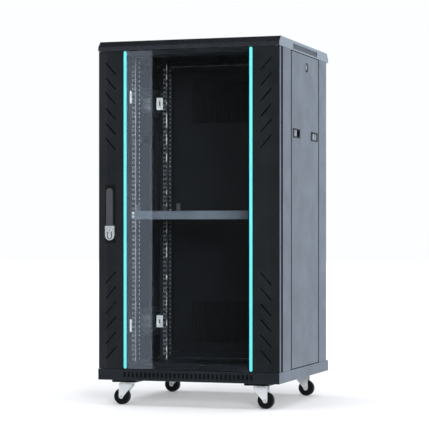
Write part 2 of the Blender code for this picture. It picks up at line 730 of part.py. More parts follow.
# ---------------------------------------------------------------- side doors
def side_door(side_name):
    """Pan with rounded upright edges, holes for two latches and a hole for its lock."""
    side = SIDES[side_name]
    low, high = BASE_TOP + 0.0025, COVER_LOW - 0.0025
    front, rear = SIDE_DOOR_Y
    inner, outer, radius = 0.280, HALF_WIDTH, 0.005
    outline = [(inner, rear), (inner, front)]
    outline += arc((outer - radius, front + radius), radius, -90, 0, 3)
    outline += arc((outer - radius, rear - radius), radius, 0, 90, 3)
    obj = piece(f"side_door_{side_name}", prism("XY", low, high, flip(outline, side)), "graphite_paint")
    x = sorted((side * (inner - PAST), side * (outer - SHEET)))
    cut(obj, "pan", boxes(((x[0], front + SHEET, low + SHEET), (x[1], rear - SHEET, high - SHEET))))
    x = sorted((side * (outer - 0.004), side * (outer + PAST)))
    holes = []
    for y in LATCHES.values():
        holes.append(((x[0], y - 0.0365, LATCH_Z - 0.0135), (x[1], y + 0.0365, LATCH_Z + 0.0135)))
    cut(obj, "latch_holes", boxes(*holes))
    cut(obj, "lock_hole", rods("X", 20, ((side * outer, *SIDE_LOCK), 0.0104, 0.02)))
    return obj


def latch_bezel(side_name, place):
    """Black pan with a thin rim that lies on the side door."""
    side = SIDES[side_name]
    y = LATCHES[place]
    rim = sorted((side * (HALF_WIDTH + FIT), side * (HALF_WIDTH + 0.0013)))
    y_half, z_half = LATCH_HALF
    name = f"latch_bezel_{place}_{side_name}"
    mesh = boxes(((rim[0], y - y_half, LATCH_Z - z_half), (rim[1], y + y_half, LATCH_Z + z_half)))
    obj = piece(name, mesh, "black_plastic")
    x = sorted((side * 0.2880, side * (HALF_WIDTH + 0.0005)))
    join(obj, "pan", boxes(((x[0], y - 0.036, LATCH_Z - 0.013), (x[1], y + 0.036, LATCH_Z + 0.013))))
    x = sorted((side * 0.2900, side * (HALF_WIDTH + 0.0023)))
    cut(obj, "recess", boxes(((x[0], y - 0.0335, LATCH_Z - 0.0105), (x[1], y + 0.0335, LATCH_Z + 0.0105))))
    return obj


def latch_slider(side_name, place):
    """Spring-loaded thumb slide in a latch."""
    side = SIDES[side_name]
    y = LATCHES[place]
    way = 1 if place == "front" else -1
    x = sorted((side * 0.2904, side * 0.2985))
    span = sorted((y - way * 0.0330, y + way * 0.0080))
    mesh = boxes(((x[0], span[0], LATCH_Z - 0.0100), (x[1], span[1], LATCH_Z + 0.0100)))
    obj = piece(f"latch_slider_{place}_{side_name}", mesh, "grey_lever")
    x = sorted((side * 0.2940, side * 0.2995))
    grip = y - way * 0.0120
    hole = ((x[0], grip - 0.010, LATCH_Z - 0.0075), (x[1], grip + 0.010, LATCH_Z + 0.0075))
    cut(obj, "finger_hole", boxes(hole))
    return obj


def side_lock(side_name):
    """Cam lock of a side door. Its cam lies level, clear of the keep in the cover."""
    side = SIDES[side_name]
    y, z = SIDE_LOCK
    profile = [(0.0, 0.0055), (0.010, 0.0055), (0.010, -0.004)]
    profile += [(0.006, -0.004), (0.006, -0.0255), (0.0, -0.0255)]
    obj = turned(f"side_lock_{side_name}", "black_plastic", profile, 20, (side * 0.2955, y, z), "X")
    obj.rotation_euler = (0, side * math.pi / 2, 0)
    x = sorted((side * 0.2700, side * 0.2730))
    join(obj, "cam", boxes(((x[0], y - 0.007, z - 0.007), (x[1], y + 0.033, z + 0.007))))
    slot = sorted((side * 0.2980, side * 0.3020))
    cut(obj, "key_slot", boxes(((slot[0], y - 0.001, z - 0.0045), (slot[1], y + 0.001, z + 0.0045))))
    return obj


# ---------------------------------------------------------------- casters
def caster_plate(corner):
    """Mounting plate under the base with the hole for the caster's kingpin."""
    sx, sy = CORNERS[corner]
    x, y, half = sx * CASTER_X, sy * CASTER_Y, CASTER_PLATE / 2
    high = CASTER_HEIGHT - FIT
    low = high - PLATE_THICK
    plate = boxes(((x - half, y - half, low), (x + half, y + half, high)))
    obj = piece(f"caster_plate_{corner}", plate, "black_plastic")
    cut(obj, "kingpin_hole", rods("Z", 16, ((x, y, (low + high) / 2), 0.0058, 0.02)))
    return obj


def caster_fork(corner):
    """Pressed swivel fork: kingpin, round head, bridge, two cheeks and the wheel's axle."""
    sx, sy = CORNERS[corner]
    x, y = sx * CASTER_X, sy * CASTER_Y
    axle_x = x + sx * TRAIL
    top = CASTER_HEIGHT - FIT - PLATE_THICK - 0.0004
    head = 0.0065
    profile = [(0.0, 0.0055), (0.0052, 0.0055), (0.0052, 0.0), (0.0190, 0.0), (0.0190, -head), (0.0, -head)]
    obj = turned(f"caster_fork_{corner}", "zinc", profile, 16, (x, y, top), "Z")
    inner, outer = WHEEL_HALF + 0.0018, WHEEL_HALF + 0.0042
    reach = 0.0075
    shoulder = top - 0.003
    back, front = x - sx * 0.0165, axle_x + sx * reach
    outline = [(back, shoulder - 0.010), (back, shoulder)]
    outline += [(front - sx * 0.003, shoulder), (front, shoulder - 0.003)]
    end = arc((axle_x, WHEEL_RADIUS), reach, 0, -180, 5)
    outline += end if sx > 0 else [(2 * axle_x - px, pz) for px, pz in end]
    for side in (-1, 1):
        leg = sorted((y + side * inner, y + side * outer))
        join(obj, f"leg_{side + 1}", prism("XZ", leg[0], leg[1], outline))
    low, high = sorted((back + sx * 0.0005, front - sx * 0.0035))
    between = inner + 0.001
    bridge = ((low, y - between, shoulder - 0.0028), (high, y + between, shoulder - 0.0004))
    join(obj, "bridge", boxes(bridge))
    length = 2 * outer + 0.004
    join(obj, "axle", rods("Y", 10, ((axle_x, y, WHEEL_RADIUS), AXLE_RADIUS, length)))
    return obj


def caster_wheel(corner):
    """Moulded wheel with a rounded tread and a bore for its axle."""
    sx, sy = CORNERS[corner]
    centre = (sx * (CASTER_X + TRAIL), sy * CASTER_Y, WHEEL_RADIUS)
    half, bore = WHEEL_HALF, AXLE_RADIUS + 0.0003
    profile = [(bore, half), (WHEEL_RADIUS - 0.0015, half), (WHEEL_RADIUS, half - 0.003)]
    profile += [(radius, -height) for radius, height in reversed(profile)]
    return turned(f"caster_wheel_{corner}", "rubber", profile, 24, centre, "Y")


# ---------------------------------------------------------------- assembly
def front_door():
    """Everything that swings with the front door."""
    swinging = [front_door_frame(), glass_pane(), trim_strip("left"), trim_strip("right")]
    swinging += [handle_housing(), lock_body(), hinge_pin("upper"), hinge_pin("lower")]
    body("front_door_joint", (*DOOR_HINGE, MIDDLE), *swinging)
    body("handle_turn_joint", (HANDLE_X, HOUSING_FRONT, SPINDLE_Z), handle_spindle())
    body("handle_lift_joint", (HANDLE_X, HOUSING_FRONT, LEVER_HIGH), handle_lever())
    body("key_joint", (HANDLE_X, HOUSING_FRONT, KEY_Z), key_cylinder())


def side_doors():
    """Both side doors with their locks and latches."""
    for name, side in SIDES.items():
        fixed = [side_door(name)] + [latch_bezel(name, place) for place in LATCHES]
        body(f"side_door_{name}_joint", (side * HALF_WIDTH, 0, MIDDLE), *fixed)
        body(f"side_lock_{name}_joint", (side * HALF_WIDTH, *SIDE_LOCK), side_lock(name))
        for place, y in LATCHES.items():
            body(f"latch_{place}_{name}_joint", (side * HALF_WIDTH, y, LATCH_Z), latch_slider(name, place))


def casters():
    """Four swivel casters, each trailing outwards."""
    for corner, (sx, sy) in CORNERS.items():
        caster_plate(corner)
        x, y = sx * CASTER_X, sy * CASTER_Y
        body(f"swivel_{corner}_joint", (x, y, CASTER_HEIGHT), caster_fork(corner))
        body(f"wheel_{corner}_joint", (x + sx * TRAIL, y, WHEEL_RADIUS), caster_wheel(corner))


def rack():
    """Braces, rails and their brackets, and the shelf."""
    for side_name in SIDES:
        for level in BRACE_HEIGHTS:
            depth_brace(side_name, level)
        for row in RAIL_FRONTS:
            rack_rail(row, side_name)
            for level in BRACE_HEIGHTS:
                rail_bracket(row, side_name, level)
    shelf()


def smooth_round_pieces():
    """Shades meshes smooth where their faces meet at a small angle."""
    for obj in bpy.data.collections["network_rack_cabinet"].objects:
        if obj.type == "MESH" and len(obj.data.polygons):
            obj.data.shade_smooth()
            obj.data.set_sharp_from_angle(angle=math.radians(35))


def main():
    """Builds the whole cabinet."""
    start()
    base_frame()
    top_cover()
    for side_name in SIDES:
        cover_vent(side_name)
    front_frame()
    rear_frame()
    rack()
    front_door()
    body("rear_door_joint", (*REAR_HINGE, MIDDLE), rear_door())
    body("rear_lock_joint", (REAR_LOCK[0], HALF_DEPTH, REAR_LOCK[1]), rear_lock())
    side_doors()
    casters()
    smooth_round_pieces()


main()
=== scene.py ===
"""Looks of a 22-unit network server rack cabinet on casters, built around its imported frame.

Units are metres. +X is the cabinet's right, -Y its front and +Z up. Every size and place comes from
the frame's own nodes; the classes below hold only the sizes of the detail that they add.
"""

import json
import logging
from collections.abc import Sequence
from dataclasses import dataclass
from enum import Enum

import bmesh
import bpy
import numpy as np
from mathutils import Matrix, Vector

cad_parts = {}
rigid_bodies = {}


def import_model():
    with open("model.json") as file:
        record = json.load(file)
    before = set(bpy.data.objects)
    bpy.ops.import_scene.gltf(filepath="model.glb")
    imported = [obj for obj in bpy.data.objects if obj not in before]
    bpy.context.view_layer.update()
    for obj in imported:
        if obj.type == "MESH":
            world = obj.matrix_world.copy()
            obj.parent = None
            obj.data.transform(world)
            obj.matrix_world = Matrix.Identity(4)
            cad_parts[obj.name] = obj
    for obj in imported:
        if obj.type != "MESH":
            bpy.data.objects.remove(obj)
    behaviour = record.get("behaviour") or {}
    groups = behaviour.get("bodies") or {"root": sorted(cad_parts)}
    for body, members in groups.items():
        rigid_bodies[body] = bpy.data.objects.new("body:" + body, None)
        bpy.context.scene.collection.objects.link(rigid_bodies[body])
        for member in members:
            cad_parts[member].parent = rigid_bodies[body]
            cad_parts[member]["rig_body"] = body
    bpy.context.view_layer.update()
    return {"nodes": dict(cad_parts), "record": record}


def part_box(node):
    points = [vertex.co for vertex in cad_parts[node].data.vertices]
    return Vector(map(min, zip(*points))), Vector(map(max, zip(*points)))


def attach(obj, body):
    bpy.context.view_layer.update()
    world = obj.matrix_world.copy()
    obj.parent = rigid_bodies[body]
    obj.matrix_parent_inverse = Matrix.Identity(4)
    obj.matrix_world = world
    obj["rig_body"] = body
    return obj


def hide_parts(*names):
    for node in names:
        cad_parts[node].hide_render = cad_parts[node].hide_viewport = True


log = logging.getLogger("rack_cabinet")

MM = 0.001
# Points nearer than this are one point, shorter edges have collapsed, and smaller angles are flat.
SAME_POINT = 1e-6
COLLAPSED_EDGE = 1e-7
SAME_PLANE = 0.4
# A part of a unit normal smaller than this counts as none.
SQUARE = 0.05
# How far the large faces set the shading of the roundings between them, from 1 to 100.
LARGE_FACES_LEAD = 90
SIDES = ("left", "right")
ROWS = ("front", "rear")
LEVELS = ("upper", "lower")
CORNERS = tuple(f"{row}_{side}" for row in ROWS for side in SIDES)


class Axis(Enum):
    """The axis that a turned piece is turned about."""

    X = 0
    Y = 1
    Z = 2


# ------------------------------------------------------------------ meshes
def side_sign(name: str) -> int:
    """-1 for a piece on the left, +1 for one on the right."""
    return -1 if name.endswith("left") else 1


def box_of(name: str) -> tuple[np.ndarray, np.ndarray]:
    """Lowest and highest corners of a frame node as arrays."""
    low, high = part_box(name)
    return np.array(low), np.array(high)


def body_of(name: str) -> str:
    """Name of the body that a frame node belongs to."""
    return bpy.data.objects[name]["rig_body"]


def mesh_object(name: str, points: np.ndarray, faces: np.ndarray) -> bpy.types.Object:
    """Makes an object at the origin from arrays.

    Args:
        name: Name of the piece.
        points: Vertex positions, shape (n, 3), in the frame's coordinates.
        faces: Vertex numbers of the faces, shape (m, 4) or (m, 3).

    Returns:
        The new object, linked to the scene and shaded smooth up to 35 degrees.
    """
    mesh = bpy.data.meshes.new(name)
    mesh.from_pydata(points.tolist(), [], faces.tolist())
    mesh.validate()
    obj = bpy.data.objects.new(name, mesh)
    bpy.context.scene.collection.objects.link(obj)
    smooth(obj)
    return obj


def smooth(obj: bpy.types.Object, degrees: float = 35.0) -> None:
    """Shades an object smooth, with sharp edges where faces meet at more than the angle."""
    obj.data.shade_smooth()
    obj.data.set_sharp_from_angle(angle=np.radians(degrees))


def grid_faces(rows: int, columns: int, wrap: bool) -> np.ndarray:
    """Quads of a grid of points counted row by row, with the columns closed into a ring if wrap is set."""
    last = columns if wrap else columns - 1
    row, column = np.meshgrid(np.arange(rows - 1), np.arange(last), indexing="ij")
    right = (column + 1) % columns
    this, above = row * columns, (row + 1) * columns
    return np.stack([this + column, this + right, above + right, above + column], axis=-1).reshape(-1, 4)


def place_on(axis: Axis, across: np.ndarray, up: np.ndarray, along: np.ndarray) -> np.ndarray:
    """Puts two cross coordinates and one along an axis into X, Y, Z, keeping the turn right-handed."""
    order = {Axis.Z: (across, up, along), Axis.X: (along, across, up), Axis.Y: (up, along, across)}[axis]
    return np.stack(order, axis=-1)


def turned(
    profile: Sequence[tuple[float, float]], centre: Sequence[float], axis: Axis, steps: int, toward: int = 1
) -> tuple[np.ndarray, np.ndarray]:
    """Surface of revolution.

    A point at turn t and profile place s is (radius(s) cos t, radius(s) sin t, height(s)), laid on the
    axis. The profile runs from the axis at its top, down its outer side and back to the axis, or round
    a closed section when it doesn't touch the axis.

    Args:
        profile: (radius, height) pairs.
        centre: Point on the axis where the height is 0.
        axis: Axis of the turn.
        steps: Points round the turn.
        toward: 1 if height grows along the axis, -1 if against it.

    Returns:
        Vertex positions and quads.
    """
    section = np.array(profile)
    if section[0, 0] > 0:
        section = np.vstack([section, section[:1]])
    angle = np.linspace(0, 2 * np.pi, steps, endpoint=False)
    across = section[:, :1] * np.cos(angle)
    up = section[:, :1] * np.sin(angle)
    along = np.repeat(section[:, 1:], steps, axis=1) * toward
    points = place_on(axis, across, up, along).reshape(-1, 3) + np.array(centre)
    faces = grid_faces(len(section), steps, True)
    return points, faces if toward < 0 else faces[:, ::-1]


def tidy(obj: bpy.types.Object) -> bpy.types.Object:
    """Merges doubles, drops what collapsed and turns the faces of a closed piece to point out."""
    bm = bmesh.new()
    bm.from_mesh(obj.data)
    bmesh.ops.remove_doubles(bm, verts=bm.verts, dist=SAME_POINT)
    bmesh.ops.dissolve_degenerate(bm, edges=bm.edges, dist=COLLAPSED_EDGE)
    bmesh.ops.recalc_face_normals(bm, faces=bm.faces)
    bm.to_mesh(obj.data)
    bm.free()
    smooth(obj)
    return obj


def joined(name: str, parts: Sequence[tuple[np.ndarray, np.ndarray]]) -> bpy.types.Object:
    """One object from several (points, quads) surfaces."""
    points, faces, count = [], [], 0
    for part_points, part_faces in parts:
        points.append(part_points)
        faces.append(part_faces + count)
        count += len(part_points)
    return tidy(mesh_object(name, np.vstack(points), np.vstack(faces)))


def applied(obj: bpy.types.Object) -> bpy.types.Object:
    """Turns an object's modifiers into its mesh."""
    graph = bpy.context.evaluated_depsgraph_get()
    mesh = bpy.data.meshes.new_from_object(obj.evaluated_get(graph))
    obj.modifiers.clear()
    obj.data = mesh
    return obj


def softened(
    node: str, width: float, segments: int = 2, least_angle: float = 32.0, merged: bool = True
) -> bpy.types.Object:
    """Copy of a frame node with its edges rounded, as pressed and painted sheet has them.

    Args:
        node: The frame node that the copy stands for.
        width: Width of the rounding in metres.
        segments: Faces across the rounding.
        least_angle: Edges that turn by more than this many degrees are rounded.
        merged: True to merge the faces of each plane first. A plane with holes in it isn't merged.

    Returns:
        The copy, riding on the node's body and standing for the node.
    """
    obj = bpy.data.objects.new(f"{node}_finished", bpy.data.objects[node].data.copy())
    bpy.context.scene.collection.objects.link(obj)
    bm = bmesh.new()
    bm.from_mesh(obj.data)
    bmesh.ops.remove_doubles(bm, verts=bm.verts, dist=2 * SAME_POINT)
    if merged:
        bmesh.ops.dissolve_limit(bm, angle_limit=np.radians(SAME_PLANE), verts=bm.verts, edges=bm.edges)
    bm.to_mesh(obj.data)
    bm.free()
    obj.data.shade_smooth()
    bevel = obj.modifiers.new("rounding", "BEVEL")
    bevel.width = width
    bevel.segments = segments
    bevel.limit_method = "ANGLE"
    bevel.angle_limit = np.radians(least_angle)
    bevel.miter_outer = "MITER_ARC"
    flat = obj.modifiers.new("flat_faces", "WEIGHTED_NORMAL")
    flat.mode = "FACE_AREA"
    flat.weight = LARGE_FACES_LEAD
    applied(obj)
    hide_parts(node)
    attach(obj, body_of(node))
    return obj


# ------------------------------------------------------------------ finishes
def linear(code: str) -> tuple[float, float, float, float]:
    """Linear colour of an sRGB hex code such as #1A2B3C."""
    values = np.array([int(code[i : i + 2], 16) for i in (1, 3, 5)]) / 255
    values = np.where(values <= 0.04045, values / 12.92, ((values + 0.055) / 1.055) ** 2.4)
    return (*values.tolist(), 1.0)


def add(
    tree: bpy.types.NodeTree,
    kind: str,
    values: dict | None = None,
    links: dict | None = None,
    **settings: str,
) -> bpy.types.Node:
    """Adds one shader node.

    Args:
        tree: Node tree to add to.
        kind: Node type, such as ShaderNodeBump.
        values: Constant of each named or numbered input.
        links: Output socket that feeds each named or numbered input.
        settings: The node's own settings.

    Returns:
        The node.
    """
    made = tree.nodes.new(kind)
    for key, value in settings.items():
        setattr(made, key, value)
    for key, value in (values or {}).items():
        made.inputs[key].default_value = value
    for key, socket in (links or {}).items():
        tree.links.new(socket, made.inputs[key])
    return made


def noise(
    tree: bpy.types.NodeTree, size_mm: float, detail: float, stretch: Sequence[float]
) -> bpy.types.NodeSocket:
    """Noise on Object coordinates whose grain is size_mm across, stretched by a factor along each axis."""
    place = add(tree, "ShaderNodeTexCoord").outputs["Object"]
    scale = [1 / factor for factor in stretch]
    moved = add(tree, "ShaderNodeMapping", {"Scale": scale}, {"Vector": place}).outputs[0]
    values = {"Scale": 1 / (size_mm * MM), "Detail": detail, "Roughness": 0.55}
    return add(tree, "ShaderNodeTexNoise", values, {"Vector": moved}).outputs[0]


def ramp(
    tree: bpy.types.NodeTree, source: bpy.types.NodeSocket, span: Sequence[float], onto: Sequence[float]
) -> bpy.types.NodeSocket:
    """Maps a value from one range onto another, clamped."""
    values = {"From Min": span[0], "From Max": span[1], "To Min": onto[0], "To Max": onto[1]}
    return add(tree, "ShaderNodeMapRange", values, {"Value": source}).outputs[0]


# Noise value midway between a finish's two colours, and the span of the rub that changes its roughness.
MOTTLE_MIDDLE = 0.55
RUB_SPAN = (0.12, 0.42)


@dataclass(frozen=True)
class Finish:
    """A surface: its colour, how it was made, and how it reflects.

    The grain is the height texture of the surface, the mottling a broad drift between the two colours,
    and the scuff a fine change of roughness where hands and tools have been. The edge is how softly one
    colour passes into the other: half the band of noise values that the change takes.
    """

    name: str
    colour: str
    worn: str
    roughness: float
    scuff: float = 0.06
    metallic: float = 0.0
    ior: float = 1.5
    grain_mm: float = 1.4
    grain_depth_mm: float = 0.02
    stretch: tuple[float, float, float] = (1.0, 1.0, 1.0)
    mottle_mm: float = 90.0
    coat: float = 0.0
    glow: float = 0.0
    edge: float = 0.2

    def material(self) -> bpy.types.Material:
        """Makes the procedural material, or returns it if it was made before."""
        found = bpy.data.materials.get(self.name)
        if found:
            return found
        made = bpy.data.materials.new(self.name)
        made.use_nodes = True
        tree = made.node_tree
        shader = tree.nodes["Principled BSDF"]
        drift = noise(tree, self.mottle_mm, 3.0, self.stretch)
        grain = noise(tree, self.grain_mm, 2.0, self.stretch)
        share = ramp(tree, drift, (MOTTLE_MIDDLE - self.edge, MOTTLE_MIDDLE + self.edge), (0.0, 1.0))
        colours = {6: linear(self.colour), 7: linear(self.worn)}
        mixed = add(tree, "ShaderNodeMix", colours, {0: share}, data_type="RGBA")
        tree.links.new(mixed.outputs[2], shader.inputs["Base Color"])
        rub = add(tree, "ShaderNodeMath", {}, {0: drift, 1: grain}, operation="MULTIPLY").outputs[0]
        rough = (self.roughness - self.scuff, self.roughness + self.scuff)
        tree.links.new(ramp(tree, rub, RUB_SPAN, rough), shader.inputs["Roughness"])
        depth = {"Strength": 0.6, "Distance": self.grain_depth_mm * MM}
        bump = add(tree, "ShaderNodeBump", depth, {"Height": grain})
        tree.links.new(bump.outputs[0], shader.inputs["Normal"])
        shader.inputs["Metallic"].default_value = self.metallic
        shader.inputs["IOR"].default_value = self.ior
        shader.inputs["Coat Weight"].default_value = self.coat
        shader.inputs["Coat Roughness"].default_value = 0.12
        # Painted glow: the part gives out its own colour as light though it holds no lamp.
        if self.glow:
            shader.inputs["Emission Color"].default_value = linear(self.colour)
            shader.inputs["Emission Strength"].default_value = self.glow
        return made


@dataclass(frozen=True)
class ClearFinish(Finish):
    """A clear pane: light bends through it and shines through it onto what it shuts in."""

    shade: str = "#EEF0F1"

    def material(self) -> bpy.types.Material:
        """Makes the material, or returns it if it was made before."""
        found = bpy.data.materials.get(self.name)
        if found:
            return found
        made = super().material()
        tree = made.node_tree
        shader = tree.nodes["Principled BSDF"]
        shader.inputs["Transmission Weight"].default_value = 1.0
        through = add(tree, "ShaderNodeBsdfTransparent", {"Color": linear(self.shade)}).outputs[0]
        lamp = add(tree, "ShaderNodeLightPath").outputs["Is Shadow Ray"]
        mixed = add(tree, "ShaderNodeMixShader", {}, {0: lamp, 1: shader.outputs[0], 2: through}).outputs[0]
        tree.links.new(mixed, tree.nodes["Material Output"].inputs["Surface"])
        return made


# Polyester powder coat, sprayed dry and baked: a satin skin with a faint orange peel about 1.6 mm across.
BLACK_COAT = Finish("black_powder_coat", "#121518", "#16191D", 0.36, grain_mm=1.6, grain_depth_mm=0.012)
# The same powder coat in graphite, with a coarser peel, on the body's sheet.
GRAPHITE_COAT = Finish(
    "graphite_powder_coat", "#15191E", "#1A1F25", 0.34, grain_mm=3.4, grain_depth_mm=0.045
)
# Powder coat baked on twice over, on the cover: glossier than the body.
COVER_COAT = Finish(
    "double_powder_coat", "#14171C", "#191D22", 0.28, ior=2.1, grain_mm=1.8, grain_depth_mm=0.010
)
# Powder coat a shade paler, on the shelf.
SHELF_COAT = Finish("shelf_powder_coat", "#5A616B", "#666E79", 0.34, scuff=0.08, grain_mm=1.8)
# Metallic paint, sprayed thin on pressed steel, with paler streaks along the braces painted as the
# highlights on their ribs.
BRACE_COAT = Finish(
    "brace_powder_coat", "#3A4048", "#6A717B", 0.22, 0.06, 0.6, grain_mm=2.0, stretch=(1, 14, 1), mottle_mm=8
)
# Black-passivated zinc plate on roll-formed steel, drawn along its length by the rollers.
RAIL_STEEL = Finish(
    "dark_passivated_zinc", "#1C1F23", "#262A30", 0.30, 0.08, 0.3, stretch=(1, 1, 14), mottle_mm=60
)
# Bare steel on the holes' walls and the side flange's back edge, painted near white as the glints that these
# edges catch.
EDGE_GLINT = Finish("bare_edge_painted_glint", "#F2F4F6", "#E4E8EC", 0.35, 0.08, 0.1, grain_mm=0.8)
# Painted highlight: bright white patches on the rear rails' bends, standing in for the light that they
# catch.
PATCHY_HIGHLIGHT_FLANGE = Finish(
    "patchy_highlight_zinc_flange", "#4A4F56", "#FFFFFF", 0.30, 0.08, mottle_mm=22, edge=0.05, stretch=(30, 30, 1)
)
# Painted highlight: an even paler band on the front rails' bends, standing in for the light on the fold.
EVEN_BEND_HIGHLIGHT = Finish("even_bend_highlight", "#7E858E", "#8C939C", 0.34, 0.06)
# Black oxide on the nuts, painted mid grey and paler in patches as the light that they catch in the dark
# rail's holes.
NUT_GLINT = Finish("nut_painted_glint", "#6D737B", "#8B9199", 0.40, 0.08, mottle_mm=30)
# Bright zinc plate, barrel-plated on small pressed parts: pale and slightly cloudy.
ZINC = Finish("bright_zinc_plate", "#F6F8F9", "#EDF0F2", 0.24, 0.08, 0.1, grain_mm=2.5, grain_depth_mm=0.01)
# Bright zinc plate, rack-plated and thicker, on the forks.
FORK_ZINC = Finish(
    "thick_zinc_plate", "#E4E7EA", "#D3D7DC", 0.20, 0.06, 0.35, grain_mm=3.0, grain_depth_mm=0.01
)
# Chrome plate over a polished zinc casting, on the front lock.
CHROME = Finish(
    "polished_chrome", "#BFC3C7", "#B2B6BA", 0.18, 0.04, 0.5, grain_mm=4.0, grain_depth_mm=0.004
)
# Satin nickel plate, brushed before plating, on the side and rear locks.
NICKEL = Finish("satin_nickel", "#7C828A", "#6C727A", 0.34, 0.06, 0.6, grain_mm=1.0, grain_depth_mm=0.006)
# Toughened float glass, heated and quenched, with a faint grey tint and a few handled places.
GLASS = ClearFinish(
    "toughened_glass", "#E9EDEE", "#E4E9EA", 0.012, 0.008, grain_mm=400, grain_depth_mm=0.0005
)
# Acrylic strip, dyed and extruded, with a faint painted glow along its length though it holds no lamp.
CYAN_TRIM = Finish(
    "cyan_acrylic", "#4FB9BA", "#54BEBF", 0.34, 0.04, grain_mm=30, grain_depth_mm=0.01, glow=0.13
)
# Nylon filled with glass fibre, moulded in a spark-eroded tool.
BLACK_NYLON = Finish(
    "black_nylon", "#0F1012", "#141517", 0.52, ior=1.22, grain_mm=0.8, grain_depth_mm=0.03
)
# The same nylon dyed grey, on the latch sliders.
GREY_NYLON = Finish("grey_nylon", "#8B9198", "#7D838A", 0.48, ior=1.3, grain_mm=0.8, grain_depth_mm=0.02)
# Satin lacquer sprayed over a zinc casting, on the lever.
LEVER_LACQUER = Finish(
    "lever_lacquer", "#35373B", "#3B3D41", 0.40, grain_mm=1.0, grain_depth_mm=0.012, coat=0.15
)
# Matt grey paint on punched steel strip.
VENT_STRIP = Finish("perforated_strip", "#3A3E45", "#41464D", 0.46, grain_mm=1.0)
# Solid rubber, moulded round the hub and scuffed by rolling.
RUBBER = Finish(
    "solid_rubber", "#0C0D0E", "#131416", 0.62, 0.12, ior=1.3, grain_mm=2.2, grain_depth_mm=0.05, mottle_mm=9
)
# Polyester fleece, felted and pleated, in near black: the filters are dark sheets that stand in for the
# shade seen through the slots.
SHADE_FLEECE = Finish("filter_fleece_painted_shade", "#0C0C0D", "#131314", 0.92, grain_mm=0.7, grain_depth_mm=0.1, mottle_mm=6)
# Nylon bristle, drawn out along its length.
BRISTLE = Finish(
    "nylon_bristle", "#0B0B0C", "#161618", 0.60, stretch=(1, 12, 1), grain_mm=0.7, grain_depth_mm=0.1
)
# Dark colour in the lock's groove: painted shade, where the groove's walls shade its floor.
GROOVE_SHADE = Finish("groove_painted_shade", "#3A3C40", "#44464A", 0.5)

BY_SLOT = {
    "graphite_paint": GRAPHITE_COAT,
    "black_paint": BLACK_COAT,
    "vent_insert": VENT_STRIP,
    "brace_paint": BRACE_COAT,
    "rail_steel": RAIL_STEEL,
    "zinc": ZINC,
    "glass": GLASS,
    "cyan_trim": CYAN_TRIM,
    "black_plastic": BLACK_NYLON,
    "grey_plastic": LEVER_LACQUER,
    "chrome": CHROME,
    "wheel_rubber": RUBBER,
}


def dress(obj: bpy.types.Object, finish: Finish) -> bpy.types.Object:
    """Gives a piece its material."""
    obj.data.materials.clear()
    obj.data.materials.append(finish.material())
    return obj


# ------------------------------------------------------------------ shell
@dataclass
class Shell:
    """Base, cover, frames, shelf and doors: painted sheet whose edges are rounded."""

    fold: float = 0.9 * MM
    thin: float = 0.5 * MM
    pressed: float = 1.2 * MM
    bend_angle: float = 8.0

    def build(self) -> None:
        """Makes every painted panel."""
        graphite = {"base_frame": self.fold, "top_cover": self.pressed, "front_frame": self.thin}
        graphite |= {"rear_frame": self.thin, "side_door_left": self.thin, "side_door_right": self.thin}
        for node, width in graphite.items():
            coat = COVER_COAT if node == "top_cover" else GRAPHITE_COAT
            self.panel(node, width, coat)
        self.panel("shelf", self.thin, SHELF_COAT)
        for node, width in {"front_door_frame": self.thin, "rear_door": self.fold}.items():
            self.panel(node, width, BLACK_COAT)
        for level in LEVELS:
            for side in SIDES:
                self.panel(f"depth_brace_{level}_{side}", self.pressed, BRACE_COAT)

    def panel(self, node: str, width: float, finish: Finish) -> None:
        """Rounds and dresses one panel."""
        obj = dress(softened(node, width, least_angle=self.bend_angle, merged=False), finish)
        log.info("%s: %d faces", obj.name, len(obj.data.polygons))


